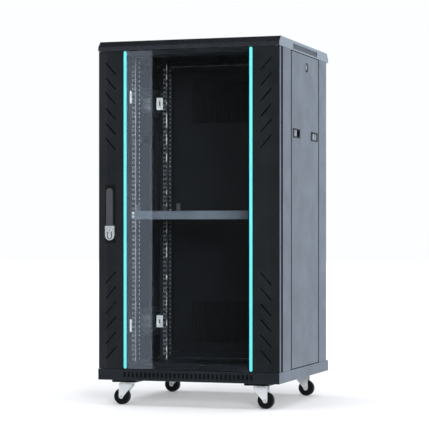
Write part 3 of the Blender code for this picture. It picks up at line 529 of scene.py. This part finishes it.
@dataclass
class Vents:
    """Perforated strips of the cover, the pleated near-black filters behind the slots that stand in for
    shade, and the cable brushes.
    """

    hole: float = 3.0 * MM
    bridge: float = 1.7 * MM
    rim: float = 1.6 * MM
    wall: float = 1.2 * MM
    pleat: float = 6.0 * MM
    pleat_depth: float = 1.4 * MM
    bristle: float = 2.4 * MM
    bristle_depth: float = 0.45 * MM
    fleece_wall: float = 0.5 * MM
    bristle_wall: float = 0.4 * MM
    rim_gap: float = 0.4 * MM
    middle_gap: float = 0.3 * MM
    half_entry: float = 119.2 * MM
    below_sheet: float = 1.25 * MM
    base_filter_half: float = 224.0 * MM
    base_filter_back: float = 5.2 * MM
    rear_filter_half: float = 187.0 * MM
    rear_filter_front: float = 4.6 * MM
    rear_filter_span: tuple[float, float] = (309.0 * MM, 451.0 * MM)
    top_entry: tuple[float, float] = (0.17, 0.23)
    floor_entry: tuple[float, float] = (0.085, 0.155)

    def levels(self, low: float, high: float, rim: float) -> np.ndarray:
        """Places of the hole edges between two ends, with as many holes as fit inside the rims."""
        count = int((high - low - 2 * rim + self.bridge) / (self.hole + self.bridge))
        used = count * self.hole + (count - 1) * self.bridge
        first = (low + high - used) / 2 + np.arange(count)[:, None] * (self.hole + self.bridge)
        edges = (first + np.array([0.0, self.hole])).ravel()
        return np.concatenate([[low], edges, [high]])

    def strip(self, side: str) -> None:
        """Grid of square holes: each second face of each second row is left out of a flat grid."""
        node = f"cover_vent_{side}"
        low, high = box_of(node)
        y, z = self.levels(low[1], high[1], self.rim), self.levels(low[2], high[2], self.rim)
        up, along = np.meshgrid(z, y, indexing="ij")
        points = np.stack([np.full(up.shape, (low[0] + high[0]) / 2), along, up], axis=-1).reshape(-1, 3)
        open_y = np.arange(len(y) - 1) % 2 == 1
        open_z = np.arange(len(z) - 1) % 2 == 1
        solid = ~(open_z[:, None] & open_y[None, :]).ravel()
        obj = mesh_object(f"{node}_finished", points, grid_faces(len(z), len(y), False)[solid])
        self.thicken(obj, self.wall, VENT_STRIP, "cabinet")
        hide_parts(node)

    def thicken(self, obj: bpy.types.Object, wall: float, finish: Finish, body: str) -> None:
        """Gives a sheet its wall, its finish and its body."""
        solid = obj.modifiers.new("wall", "SOLIDIFY")
        solid.thickness = wall
        solid.offset = 0.0
        tidy(applied(obj))
        dress(obj, finish)
        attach(obj, body)
        log.info("%s: %d faces", obj.name, len(obj.data.polygons))

    def fleece(self, name: str, half: float, z: tuple[float, float], y: float, body: str) -> None:
        """Pleated sheet behind a group of slots: its depth is a sine of the place along X.

        Args:
            name: Name of the piece.
            half: Its half length along X.
            z: Its lower and upper edges.
            y: Middle of its depth.
            body: Body that it rides on.
        """
        along = np.arange(-half, half + 0.1 * MM, self.pleat / 8)
        height = np.linspace(z[0], z[1], 4)
        depth = y + self.pleat_depth * np.sin(2 * np.pi * along / self.pleat)
        up, across = np.meshgrid(height, along, indexing="ij")
        points = np.stack([across, np.broadcast_to(depth, across.shape), up], axis=-1).reshape(-1, 3)
        obj = mesh_object(name, points, grid_faces(len(height), len(along), False)[:, ::-1])
        # The near-black fleece is painted shade behind the slots.
        self.thicken(obj, self.fleece_wall, SHADE_FLEECE, body)

    def filters(self) -> None:
        """Near-black filters behind the base's front slots and inside the rear door's two groups of slots:
        painted shade seen through the slots.
        """
        low, high = box_of("base_frame")
        edges = (low[2] + 4.2 * MM, high[2] - 3.6 * MM)
        self.fleece("base_filter", self.base_filter_half, edges, low[1] + self.base_filter_back, "cabinet")
        low, high = box_of("rear_door")
        middle = (low[2] + high[2]) / 2
        depth = high[1] - self.rear_filter_front
        for level, sign in (("upper", 1), ("lower", -1)):
            edges = tuple(sorted(middle + sign * reach for reach in self.rear_filter_span))
            self.fleece(f"rear_filter_{level}", self.rear_filter_half, edges, depth, body_of("rear_door"))

    def brush(self, name: str, z: float, edges: tuple[float, float]) -> None:
        """Two rows of bristles that meet in the middle of a cable entry, waved by a sine along X."""
        x = np.arange(-self.half_entry, self.half_entry + 0.1 * MM, self.bristle / 8)
        middle = sum(edges) / 2
        wave = z + self.bristle_depth * np.sin(2 * np.pi * x / self.bristle)
        rows = [(edges[0] + self.rim_gap, middle - self.middle_gap)]
        rows.append((middle + self.middle_gap, edges[1] - self.rim_gap))
        points = []
        for start, end in rows:
            across, along = np.meshgrid(np.linspace(start, end, 3), x, indexing="ij")
            row = np.stack([along, across, np.broadcast_to(wave, along.shape)], axis=-1)
            points.append(row.reshape(-1, 3))
        quads = grid_faces(3, len(x), False)
        obj = mesh_object(name, np.vstack(points), np.vstack([quads, quads + 3 * len(x)]))
        self.thicken(obj, self.bristle_wall, BRISTLE, "cabinet")

    def build(self) -> None:
        """Makes the strips, the filter and the brushes."""
        for side in SIDES:
            self.strip(side)
        self.filters()
        self.brush("top_cable_brush", box_of("top_cover")[1][2] - self.below_sheet, self.top_entry)
        self.brush("bottom_cable_brush", box_of("base_frame")[1][2] - self.below_sheet, self.floor_entry)


# ------------------------------------------------------------------ rails
@dataclass
class RackRails:
    """Folded 19-inch rails with square holes in the front flange and in the side flange."""

    wall: float = 2.0 * MM
    bend: float = 1.6 * MM
    hole: float = 9.5 * MM
    hole_x: float = 232.55 * MM
    unit: float = 44.45 * MM
    offsets: tuple[float, ...] = (6.35 * MM, 22.225 * MM, 38.1 * MM)
    units: int = 22
    side_hole_back: float = 31.0 * MM
    side_hole: float = 8.0 * MM
    side_hole_high: float = 5.0 * MM
    nut_out: float = 3.9 * MM
    nut_in: float = 2.4 * MM
    nut_long: float = 3.0 * MM
    nut_bevel: float = 0.5 * MM
    nut_steps: int = 6
    return_depth: float = 13.0 * MM
    # How far back from the front face the painted highlight on the bends reaches: in patches on the rear
    # rails, evenly on the front.
    patchy_highlight_reach: float = 9.0 * MM
    even_highlight_reach: float = 3.5 * MM
    bend_reach: float = 2.4 * MM
    flange_end: float = 39.0 * MM
    flange_inset: float = 3.0 * MM
    side_column: int = 1
    front_column: int = 7

    def heights(self, low: float, high: float) -> tuple[np.ndarray, np.ndarray, np.ndarray]:
        """Grid heights of a rail, each row's place in its hole (0 between holes), and the holes' middles."""
        first = (low + high) / 2 - self.units * self.unit / 2
        middles = (first + np.arange(self.units)[:, None] * self.unit + np.array(self.offsets)).ravel()
        half, small = self.hole / 2, self.side_hole_high / 2
        edges = np.stack([middles - half, middles - small, middles + small, middles + half], axis=-1).ravel()
        levels = np.concatenate([[low], edges, [high]])
        return levels, np.arange(len(levels) - 1) % 4, middles

    def section(self, low: np.ndarray, high: np.ndarray, side: int) -> np.ndarray:
        """Middle line of the folded section, from the side flange's back edge to the return's.

        It is three straight runs joined by quarter-circle bends. Its points stand at the edges of the
        holes, so that a hole is a column of faces left out.
        """
        half, bend = self.wall / 2, self.bend
        inner, outer = np.sort(np.abs([low[0], high[0]]))
        inner, outer, front = inner + half, outer - half, low[1] + half
        turn = np.linspace(0, np.pi / 2, 4)[1:-1]
        middle, reach = low[1] + self.side_hole_back, self.side_hole / 2
        rows = [[inner, high[1]], [inner, middle + reach], [inner, middle - reach], [inner, front + bend]]
        rows += [[inner + bend - bend * np.cos(a), front + bend - bend * np.sin(a)] for a in turn]
        near, far = self.hole_x - self.hole / 2, self.hole_x + self.hole / 2
        rows += [[inner + bend, front], [near, front], [far, front], [outer - bend, front]]
        rows += [[outer - bend + bend * np.sin(a), front + bend - bend * np.cos(a)] for a in turn]
        rows += [[outer, front + bend], [outer, low[1] + self.return_depth]]
        points = np.array(rows)
        points[:, 0] *= side
        return points

    def glint_and_highlight_parts(self, obj: bpy.types.Object, face: float, patchy_highlight: bool) -> None:
        """Gives the holes' walls and the side flange's back edge bare steel painted near white as a glint,
        and the bend a painted highlight.

        A hole's wall stands across the sheet, so its place lies within the sheet's thickness of the
        face and its normal has no part along Y, or for a side hole none along X.

        Args:
            obj: The rail.
            face: Y of the rail's front face.
            patchy_highlight: True if the bend's painted highlight comes in bright patches, as on the rear
                rails; False if it is an even paler band.
        """
        mesh = obj.data
        mesh.materials.append(EDGE_GLINT.material())
        mesh.materials.append((PATCHY_HIGHLIGHT_FLANGE if patchy_highlight else EVEN_BEND_HIGHLIGHT).material())
        count = len(mesh.polygons)
        centre, normal = np.zeros(count * 3), np.zeros(count * 3)
        mesh.polygons.foreach_get("center", centre)
        mesh.polygons.foreach_get("normal", normal)
        centre, normal = centre.reshape(-1, 3), np.abs(normal.reshape(-1, 3))
        inner, outer = np.abs(centre[:, 0]).min(), np.abs(centre[:, 0]).max()
        across = np.abs(centre[:, 0])
        upright = (normal[:, 1] < SQUARE) & (normal[:, 0] + normal[:, 2] > 1 - 2 * SQUARE)
        in_front = (centre[:, 1] < face + self.wall) & upright
        in_front &= (across > inner + self.flange_inset) & (across < outer - self.flange_inset)
        in_side = (across < inner + self.wall) & (normal[:, 0] < SQUARE)
        in_side &= np.abs(centre[:, 1] - face - self.side_hole_back) < self.side_hole
        index = np.zeros(count, np.int32)
        # Index 2, the bend: painted highlight, in bright patches on the rear rails and an even paler band on
        # the front.
        reach = self.patchy_highlight_reach if patchy_highlight else self.even_highlight_reach
        index[(across < inner + self.bend_reach) & (centre[:, 1] < face + reach)] = 2
        # Index 1, the hole walls and the side flange's back edge: near-white painted glint.
        index[in_front | in_side | (centre[:, 1] > face + self.flange_end)] = 1
        mesh.polygons.foreach_set("material_index", index)

    def build(self) -> None:
        """Makes the four rails."""
        for row in ROWS:
            for side in SIDES:
                node = f"rack_rail_{row}_{side}"
                low, high = box_of(node)
                section = self.section(low, high, side_sign(node))
                levels, hole_rows, middles = self.heights(low[2], high[2])
                columns = np.arange(len(section) - 1)
                front_holes = (hole_rows > 0)[:, None] & (columns == self.front_column)[None, :]
                side_holes = (hole_rows == 2)[:, None] & (columns == self.side_column)[None, :]
                across = np.broadcast_to(section[None, :, :], (len(levels), len(section), 2))
                up = np.broadcast_to(levels[:, None, None], (len(levels), len(section), 1))
                points = np.concatenate([across, up], axis=-1).reshape(-1, 3)
                faces = grid_faces(len(levels), len(section), False)
                solid = ~(front_holes | side_holes).ravel()
                obj = mesh_object(f"{node}_finished", points, faces[solid])
                wall = obj.modifiers.new("wall", "SOLIDIFY")
                wall.thickness = self.wall
                wall.offset = 0.0
                wall.use_even_offset = True
                tidy(applied(obj))
                dress(obj, RAIL_STEEL)
                self.glint_and_highlight_parts(obj, low[1], row == "rear")
                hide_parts(node)
                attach(obj, body_of(node))
                log.info("%s: %d faces", obj.name, len(obj.data.polygons))
                self.nuts(node, low[1] + self.wall / 2, middles)

    def nuts(self, node: str, face: float, middles: np.ndarray) -> None:
        """A nut in each square hole: a six-sided ring turned about Y, with its edges broken."""
        bevel = self.nut_bevel
        profile = [(self.nut_in, bevel), (self.nut_out - bevel, bevel), (self.nut_out, 0.0)]
        profile += [(self.nut_out, -self.nut_long), (self.nut_in, -self.nut_long)]
        x = self.hole_x * side_sign(node)
        parts = [turned(profile, (x, face, z), Axis.Y, self.nut_steps, -1) for z in middles]
        # The nuts' grey is painted highlight, which shows as light dots on the dark rail.
        obj = dress(joined(f"{node}_nuts", parts), NUT_GLINT)
        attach(obj, body_of(node))


# ------------------------------------------------------------------ fasteners
@dataclass
class Screws:
    """Pan-head screws with a socket, gathered into one piece for each group."""

    head: float = 4.2 * MM
    height: float = 2.0 * MM
    socket: float = 1.8 * MM
    steps: int = 18
    shelf_x: float = 232.8 * MM
    shelf_lifts: tuple[float, float] = (9.0 * MM, 20.0 * MM)
    bracket_x: float = 244.5 * MM
    bracket_lift: float = 13.0 * MM
    plate_inset: float = 9.0 * MM

    def heads(
        self, name: str, places: Sequence[Sequence[float]], axis: Axis, body: str, scale: float
    ) -> None:
        """One piece with a screw head at each place.

        The head's profile is a well for the key, a flat rim and a quarter-round shoulder.

        Args:
            name: Name of the piece.
            places: Points where each head sits.
            axis: Axis of the screws, against which the heads face.
            body: Body that the piece rides on.
            scale: Size of the heads beside the usual one.
        """
        head, height, socket = self.head * scale, self.height * scale, self.socket * scale
        shoulder = np.linspace(np.pi / 2, 0, 4)
        profile = [(0.0, height * 0.35), (socket, height * 0.35), (socket, height)]
        profile += [(head * (0.55 + 0.45 * np.cos(a)), height * (0.45 + 0.55 * np.sin(a))) for a in shoulder]
        profile += [(head, -0.2 * MM), (0.0, -0.2 * MM)]
        parts = [turned(profile, place, axis, self.steps, -1) for place in places]
        obj = dress(joined(name, parts), ZINC)
        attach(obj, body)
        log.info("%s: %d screws", name, len(places))

    def build(self) -> None:
        """Screws of the shelf, the brackets and the caster plates."""
        low, _ = box_of("shelf")
        lifts = self.shelf_lifts
        spots = [(x, low[1], low[2] + lift) for x in (-self.shelf_x, self.shelf_x) for lift in lifts]
        self.heads("shelf_screws", spots, Axis.Y, "cabinet", 1.0)
        for side in SIDES:
            spots = []
            for row in ROWS:
                for level in LEVELS:
                    low, high = box_of(f"rail_bracket_{row}_{level}_{side}")
                    middle = (low[2] + high[2]) / 2
                    for lift in (-self.bracket_lift, self.bracket_lift):
                        spots.append((side_sign(side) * self.bracket_x, low[1], middle + lift))
            self.heads(f"bracket_screws_{side}", spots, Axis.Y, "cabinet", 0.8)
        spots = []
        for corner in CORNERS:
            low, high = box_of(f"caster_plate_{corner}")
            for x in (low[0] + self.plate_inset, high[0] - self.plate_inset):
                for y in (low[1] + self.plate_inset, high[1] - self.plate_inset):
                    spots.append((x, y, low[2]))
        self.heads("caster_screws", spots, Axis.Z, "cabinet", 1.1)


# ------------------------------------------------------------------ front door
@dataclass
class FrontDoor:
    """Glass, trim, handle and lock of the front door."""

    groove_width: float = 3.0 * MM
    groove_depth: float = 2.2 * MM
    tongue: float = 5.2 * MM
    groove_foot: float = 4.5 * MM
    groove_steps: int = 15

    def glass(self) -> None:
        """Pane with polished edges."""
        dress(softened("front_glass", 0.6 * MM), GLASS)

    def trim(self) -> None:
        """The two cyan strips beside the pane, with a faint painted glow."""
        for side in SIDES:
            dress(softened(f"trim_strip_{side}", 0.8 * MM), CYAN_TRIM)

    def handle(self) -> None:
        """Housing and lever."""
        dress(softened("handle_housing", 0.8 * MM), BLACK_NYLON)
        dress(softened("handle_lever", 0.3 * MM), LEVER_LACQUER)

    def lock(self) -> None:
        """Bright lock body with a groove that runs in a U round the tongue below the key cylinder."""
        obj = softened("lock_body", 0.7 * MM, 3)
        low, high = box_of("lock_body")
        key_low, key_high = box_of("key_cylinder")
        centre = (low[0] + high[0]) / 2
        key_z = (key_low[2] + key_high[2]) / 2
        reach = self.tongue + self.groove_width / 2
        bottom = low[2] + self.groove_foot + reach
        turn = np.linspace(np.pi, 2 * np.pi, self.groove_steps)
        path = np.stack([centre + reach * np.cos(turn), bottom + reach * np.sin(turn)], axis=-1)
        top = key_z - 1 * MM
        path = np.vstack([[centre - reach, top], path, [centre + reach, top]])
        cutter = self.channel("lock_groove", path, low[1] - 1 * MM, low[1] + self.groove_depth)
        # The groove takes painted shade.
        cutter.data.materials.append(GROOVE_SHADE.material())
        dress(obj, CHROME)
        cut = obj.modifiers.new("groove", "BOOLEAN")
        cut.object = cutter
        cut.operation = "DIFFERENCE"
        cut.material_mode = "TRANSFER"
        applied(obj)
        smooth(obj, 40.0)
        bpy.data.objects.remove(cutter, do_unlink=True)
        dress(softened("key_cylinder", 0.5 * MM), CHROME)

    def channel(self, name: str, path: np.ndarray, front: float, back: float) -> bpy.types.Object:
        """Closed bar of the groove's width that follows a path in the plane of the door.

        Each point of the path is set out to both sides along the path's normal, and the four rows of
        points make a rectangular tube with capped ends.
        """
        tangent = np.gradient(path, axis=0)
        tangent /= np.linalg.norm(tangent, axis=1, keepdims=True)
        normal = np.stack([-tangent[:, 1], tangent[:, 0]], axis=-1) * self.groove_width / 2
        corners = [(path + normal, front), (path - normal, front)]
        corners += [(path - normal, back), (path + normal, back)]
        rows = [np.stack([xz[:, 0], np.full(len(path), y), xz[:, 1]], axis=-1) for xz, y in corners]
        points = np.stack(rows, axis=1)
        faces = grid_faces(len(path), 4, True)
        last = (len(path) - 1) * 4
        caps = np.array([[3, 2, 1, 0], [last, last + 1, last + 2, last + 3]])
        return tidy(mesh_object(name, points.reshape(-1, 3), np.vstack([faces, caps])))

    def build(self) -> None:
        """Makes everything on the front door."""
        self.glass()
        self.trim()
        self.handle()
        self.lock()
        log.info("front door fitted")


# ------------------------------------------------------------------ side doors
@dataclass
class SideHardware:
    """Lock rings, locks and slide latches of the side doors, and the rear lock."""

    ring_outer: float = 15.5 * MM
    ring_inner: float = 10.3 * MM
    ring_high: float = 1.1 * MM
    ring_seat: float = 0.05 * MM
    ring_soft: float = 0.8 * MM
    steps: int = 48

    def ring(self, side: str) -> None:
        """Moulded ring round the lock: a flat face between two quarter-round edges, turned about X."""
        low, high = box_of(f"side_lock_{side}")
        sign = side_sign(side)
        skin = box_of(f"side_door_{side}")[1 if sign > 0 else 0][0]
        centre = (skin, (low[1] + high[1]) / 2, (low[2] + high[2]) / 2)
        turn = np.linspace(0, np.pi / 2, 4)
        soft, level = self.ring_soft, self.ring_high - self.ring_soft
        inner, outer = self.ring_inner, self.ring_outer
        profile = [(inner, self.ring_seat), (inner, level)]
        profile += [(inner + soft * (1 - np.cos(a)), level + soft * np.sin(a)) for a in turn]
        profile += [(outer - soft * (1 - np.sin(a)), level + soft * np.cos(a)) for a in turn]
        profile += [(outer, self.ring_seat)]
        obj = joined(f"side_lock_ring_{side}", [turned(profile, centre, Axis.X, self.steps, sign)])
        dress(obj, BLACK_NYLON)
        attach(obj, f"side_door_{side}")

    def build(self) -> None:
        """Makes the rings and finishes the locks and latches."""
        for side in SIDES:
            self.ring(side)
            dress(softened(f"side_lock_{side}", 0.5 * MM), NICKEL)
            for row in ROWS:
                bezel = softened(f"latch_bezel_{row}_{side}", 0.4 * MM, merged=False)
                dress(bezel, BLACK_NYLON)
                dress(softened(f"latch_slider_{row}_{side}", 0.5 * MM), GREY_NYLON)
        dress(softened("rear_lock", 0.4 * MM), NICKEL)
        log.info("side doors fitted")


# ------------------------------------------------------------------ casters
@dataclass
class Casters:
    """Swivel casters: pressed plate, zinc-plated fork, axle nuts and a solid wheel."""

    steps: int = 64
    hub: float = 8.5 * MM
    web: float = 2.2 * MM
    nut: float = 4.6 * MM
    nut_high: float = 1.9 * MM
    cheek: float = 14.2 * MM
    bore: float = 3.3 * MM
    tread_edge: float = 3.0 * MM

    def wheel(self, corner: str) -> None:
        """Wheel turned about Y: hub, sunk web, rim and a crowned tread whose edges are quarter-round."""
        node = f"caster_wheel_{corner}"
        low, high = box_of(node)
        centre, half, radius = (low + high) / 2, (high[1] - low[1]) / 2, (high[2] - low[2]) / 2
        turn = np.linspace(0, np.pi / 2, 5)
        edge = self.tread_edge
        side = [(self.bore, half), (self.hub - 0.6 * MM, half), (self.hub, half - 0.6 * MM)]
        side += [(self.hub + 0.6 * MM, half - self.web), (radius - 8.4 * MM, half - self.web)]
        side += [(radius - 7.8 * MM, half - 0.5 * MM), (radius - 7.2 * MM, half)]
        side += [(radius - edge * (1 - np.sin(a)), half - edge * (1 - np.cos(a))) for a in turn]
        profile = side + [(r, -h) for r, h in reversed(side)]
        obj = joined(f"{node}_finished", [turned(profile, centre, Axis.Y, self.steps)])
        dress(obj, RUBBER)
        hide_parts(node)
        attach(obj, body_of(node))

    def nuts(self, corner: str) -> None:
        """Six-sided nuts on the axle, each turned about Y with a domed end."""
        wheel_low, wheel_high = box_of(f"caster_wheel_{corner}")
        axle = (wheel_low + wheel_high) / 2
        high = self.nut_high
        profile = [(0.0, high), (2.4 * MM, high - 0.2 * MM), (3.0 * MM, high - 0.8 * MM)]
        profile += [(self.nut - 0.5 * MM, high - 0.8 * MM), (self.nut, high - 1.2 * MM)]
        profile += [(self.nut, 0.0), (0.0, 0.0)]
        parts = []
        for way in (-1, 1):
            cheek = axle[1] + way * self.cheek
            parts.append(turned(profile, (axle[0], cheek, axle[2]), Axis.Y, 6, way))
        obj = dress(joined(f"axle_nuts_{corner}", parts), NICKEL)
        smooth(obj, 20.0)
        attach(obj, f"caster_swivel_{corner}")

    def build(self) -> None:
        """Makes the four casters."""
        for corner in CORNERS:
            dress(softened(f"caster_plate_{corner}", 1.0 * MM), BLACK_NYLON)
            dress(softened(f"caster_fork_{corner}", 0.7 * MM), FORK_ZINC)
            self.wheel(corner)
            self.nuts(corner)
        log.info("casters fitted")


# ------------------------------------------------------------------ brackets
@dataclass
class Brackets:
    """Bright L-shaped brackets that join the rails to the braces."""

    rounding: float = 0.8 * MM

    def build(self) -> None:
        """Rounds and dresses the eight brackets."""
        for row in ROWS:
            for level in LEVELS:
                for side in SIDES:
                    node = f"rail_bracket_{row}_{level}_{side}"
                    dress(softened(node, self.rounding), ZINC)
        log.info("brackets fitted")


def finish_kept_nodes(record: dict, nodes: dict) -> None:
    """Gives each frame node that still shows the finish of its slot.

    Args:
        record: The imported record, which names each node's material slot.
        nodes: Frame node objects by name.
    """
    slots = {row["node"]: row["material_slot"] for row in record["subparts"]}
    for name, obj in nodes.items():
        if obj.hide_render:
            continue
        finish = BY_SLOT[slots[name]]
        for index in range(len(obj.material_slots)):
            obj.material_slots[index].material = finish.material()
        log.info("%s keeps its own shape, in %s", name, finish.name)


# ------------------------------------------------------------------ stage
def look(obj: bpy.types.Object, target: Sequence[float]) -> None:
    """Turns a light to face a point."""
    way = Vector(target) - obj.location
    obj.rotation_euler = way.to_track_quat("-Z", "Y").to_euler()


@dataclass
class Studio:
    """Pale floor, white surround, soft lights, sheets for the reflections, and the camera."""

    turn: float = 18.208
    distance: float = 5.7545
    height: float = 0.539
    aside: float = -0.0082
    lens: float = 144.6
    shift_y: float = 0.0426
    half_floor: float = 30.0
    half_canopy: float = 5.0
    canopy_height: float = 6.0
    surround: float = 1.0

    def camera(self) -> None:
        """Level camera at the cabinet's front right."""
        data = bpy.data.cameras.new("camera")
        data.lens = self.lens
        data.sensor_width = 36.0
        data.shift_y = self.shift_y
        data.clip_end = 200.0
        camera = bpy.data.objects.new("camera", data)
        bpy.context.scene.collection.objects.link(camera)
        angle = np.radians(self.turn)
        right = np.array([np.cos(angle), np.sin(angle)])
        back = np.array([np.sin(angle), -np.cos(angle)])
        x, y = right * self.aside + back * self.distance
        camera.location = (x, y, self.height)
        camera.rotation_euler = (np.pi / 2, 0, angle)
        bpy.context.scene.camera = camera

    def area(
        self, name: str, place: Sequence[float], target: Sequence[float], size: float, radiance: float
    ) -> None:
        """Square soft light that neither the camera nor reflections see, given by its face's brightness."""
        data = bpy.data.lights.new(name, "AREA")
        data.size = size
        data.energy = radiance * np.pi * size**2
        light = bpy.data.objects.new(name, data)
        light.location = place
        look(light, target)
        light.visible_camera = False
        light.visible_glossy = False
        bpy.context.scene.collection.objects.link(light)

    def square(self, half: float, height: float) -> np.ndarray:
        """Corners of a level square about the origin."""
        return np.array([[x * half, y * half, height] for x, y in ((-1, -1), (1, -1), (1, 1), (-1, 1))])

    def glow_sheet(self, name: str, corners: np.ndarray, colour: str, glow: float) -> None:
        """Flat sheet that only reflections see.

        Args:
            name: Name of the sheet.
            corners: Its four corners in turn, shape (4, 3).
            colour: Its colour as an sRGB hex code.
            glow: Brightness of its light.
        """
        obj = mesh_object(name, corners, np.array([[0, 1, 2, 3]]))
        made = bpy.data.materials.new(name)
        made.use_nodes = True
        tree = made.node_tree
        shine = add(tree, "ShaderNodeEmission", {"Color": linear(colour), "Strength": glow})
        tree.links.new(shine.outputs[0], tree.nodes["Material Output"].inputs["Surface"])
        obj.data.materials.append(made)
        obj.visible_camera = False
        obj.visible_diffuse = False
        obj.visible_shadow = False

    def card(
        self, name: str, low: Sequence[float], high: Sequence[float], colour: str, glow: float
    ) -> None:
        """Upright glow sheet between two opposite corners."""
        x0, y0, z0 = low
        x1, y1, z1 = high
        corners = np.array([[x0, y0, z0], [x1, y1, z0], [x1, y1, z1], [x0, y0, z1]])
        self.glow_sheet(name, corners, colour, glow)

    def canopy(self) -> None:
        """Dark sheet overhead, which the cover's chamfer mirrors."""
        self.glow_sheet("canopy", self.square(self.half_canopy, self.canopy_height), "#0E0F10", 1.0)

    def floor(self) -> None:
        """Large pale floor."""
        obj = mesh_object("floor", self.square(self.half_floor, 0.0), np.array([[0, 1, 2, 3]]))
        made = bpy.data.materials.new("pale_floor")
        made.use_nodes = True
        shader = made.node_tree.nodes["Principled BSDF"]
        shader.inputs["Base Color"].default_value = linear("#F4F5F7")
        shader.inputs["Roughness"].default_value = 0.7
        shader.inputs["Specular IOR Level"].default_value = 0.2
        obj.data.materials.append(made)
        obj.visible_glossy = False
        obj.visible_transmission = False

    def world(self) -> None:
        """Even white surround."""
        world = bpy.data.worlds.new("surround")
        world.use_nodes = True
        background = world.node_tree.nodes["Background"]
        background.inputs["Color"].default_value = linear("#FDFEFF")
        background.inputs["Strength"].default_value = self.surround
        bpy.context.scene.world = world

    def sun(self, name: str, way: Sequence[float], angle: float, strength: float) -> None:
        """Very wide far light, which brightens the whole floor evenly."""
        data = bpy.data.lights.new(name, "SUN")
        data.angle = np.radians(angle)
        data.energy = strength
        light = bpy.data.objects.new(name, data)
        light.rotation_euler = Vector(way).to_track_quat("-Z", "Y").to_euler()
        bpy.context.scene.collection.objects.link(light)

    def build(self) -> None:
        """Sets the whole stage."""
        scene = bpy.context.scene
        scene.view_settings.view_transform = "Standard"
        scene.view_settings.look = "None"
        self.camera()
        self.floor()
        self.world()
        self.card("dark_card", (-12.0, -9.0, -6.0), (10.0, -9.0, 9.0), "#3C3E43", 1.0)
        self.card("turned_card", (10.0, -9.0, -6.0), (10.0, -1.5, 9.0), "#2A2C30", 1.0)
        self.card("bright_card", (-3.56, -8.9, -1.2), (-3.290, -8.9, 3.2), "#DDEAFF", 1.45)
        self.card("side_card", (0.0, 7.5, -4.0), (7.5, 7.5, 7.0), "#DDECFF", 1.7)
        self.canopy()
        self.sun("sky_light", (0.0, 0.15, -1.0), 110.0, 0.95)
        self.area("underfill", (0.0, 0.0, 0.070), (0.0, 0.0, 0.0), 0.46, 0.45)
        self.area("key", (2.6, -5.2, 1.6), (-0.2, 0.0, 0.6), 1.1, 60.0)
        log.info("stage set")


def main() -> None:
    """Builds the looks in order."""
    logging.basicConfig(level=logging.INFO, format="%(name)s: %(message)s")
    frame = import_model()
    Shell().build()
    Vents().build()
    RackRails().build()
    Brackets().build()
    Screws().build()
    FrontDoor().build()
    SideHardware().build()
    Casters().build()
    finish_kept_nodes(frame["record"], frame["nodes"])
    Studio().build()


if __name__ == "__main__":
    main()
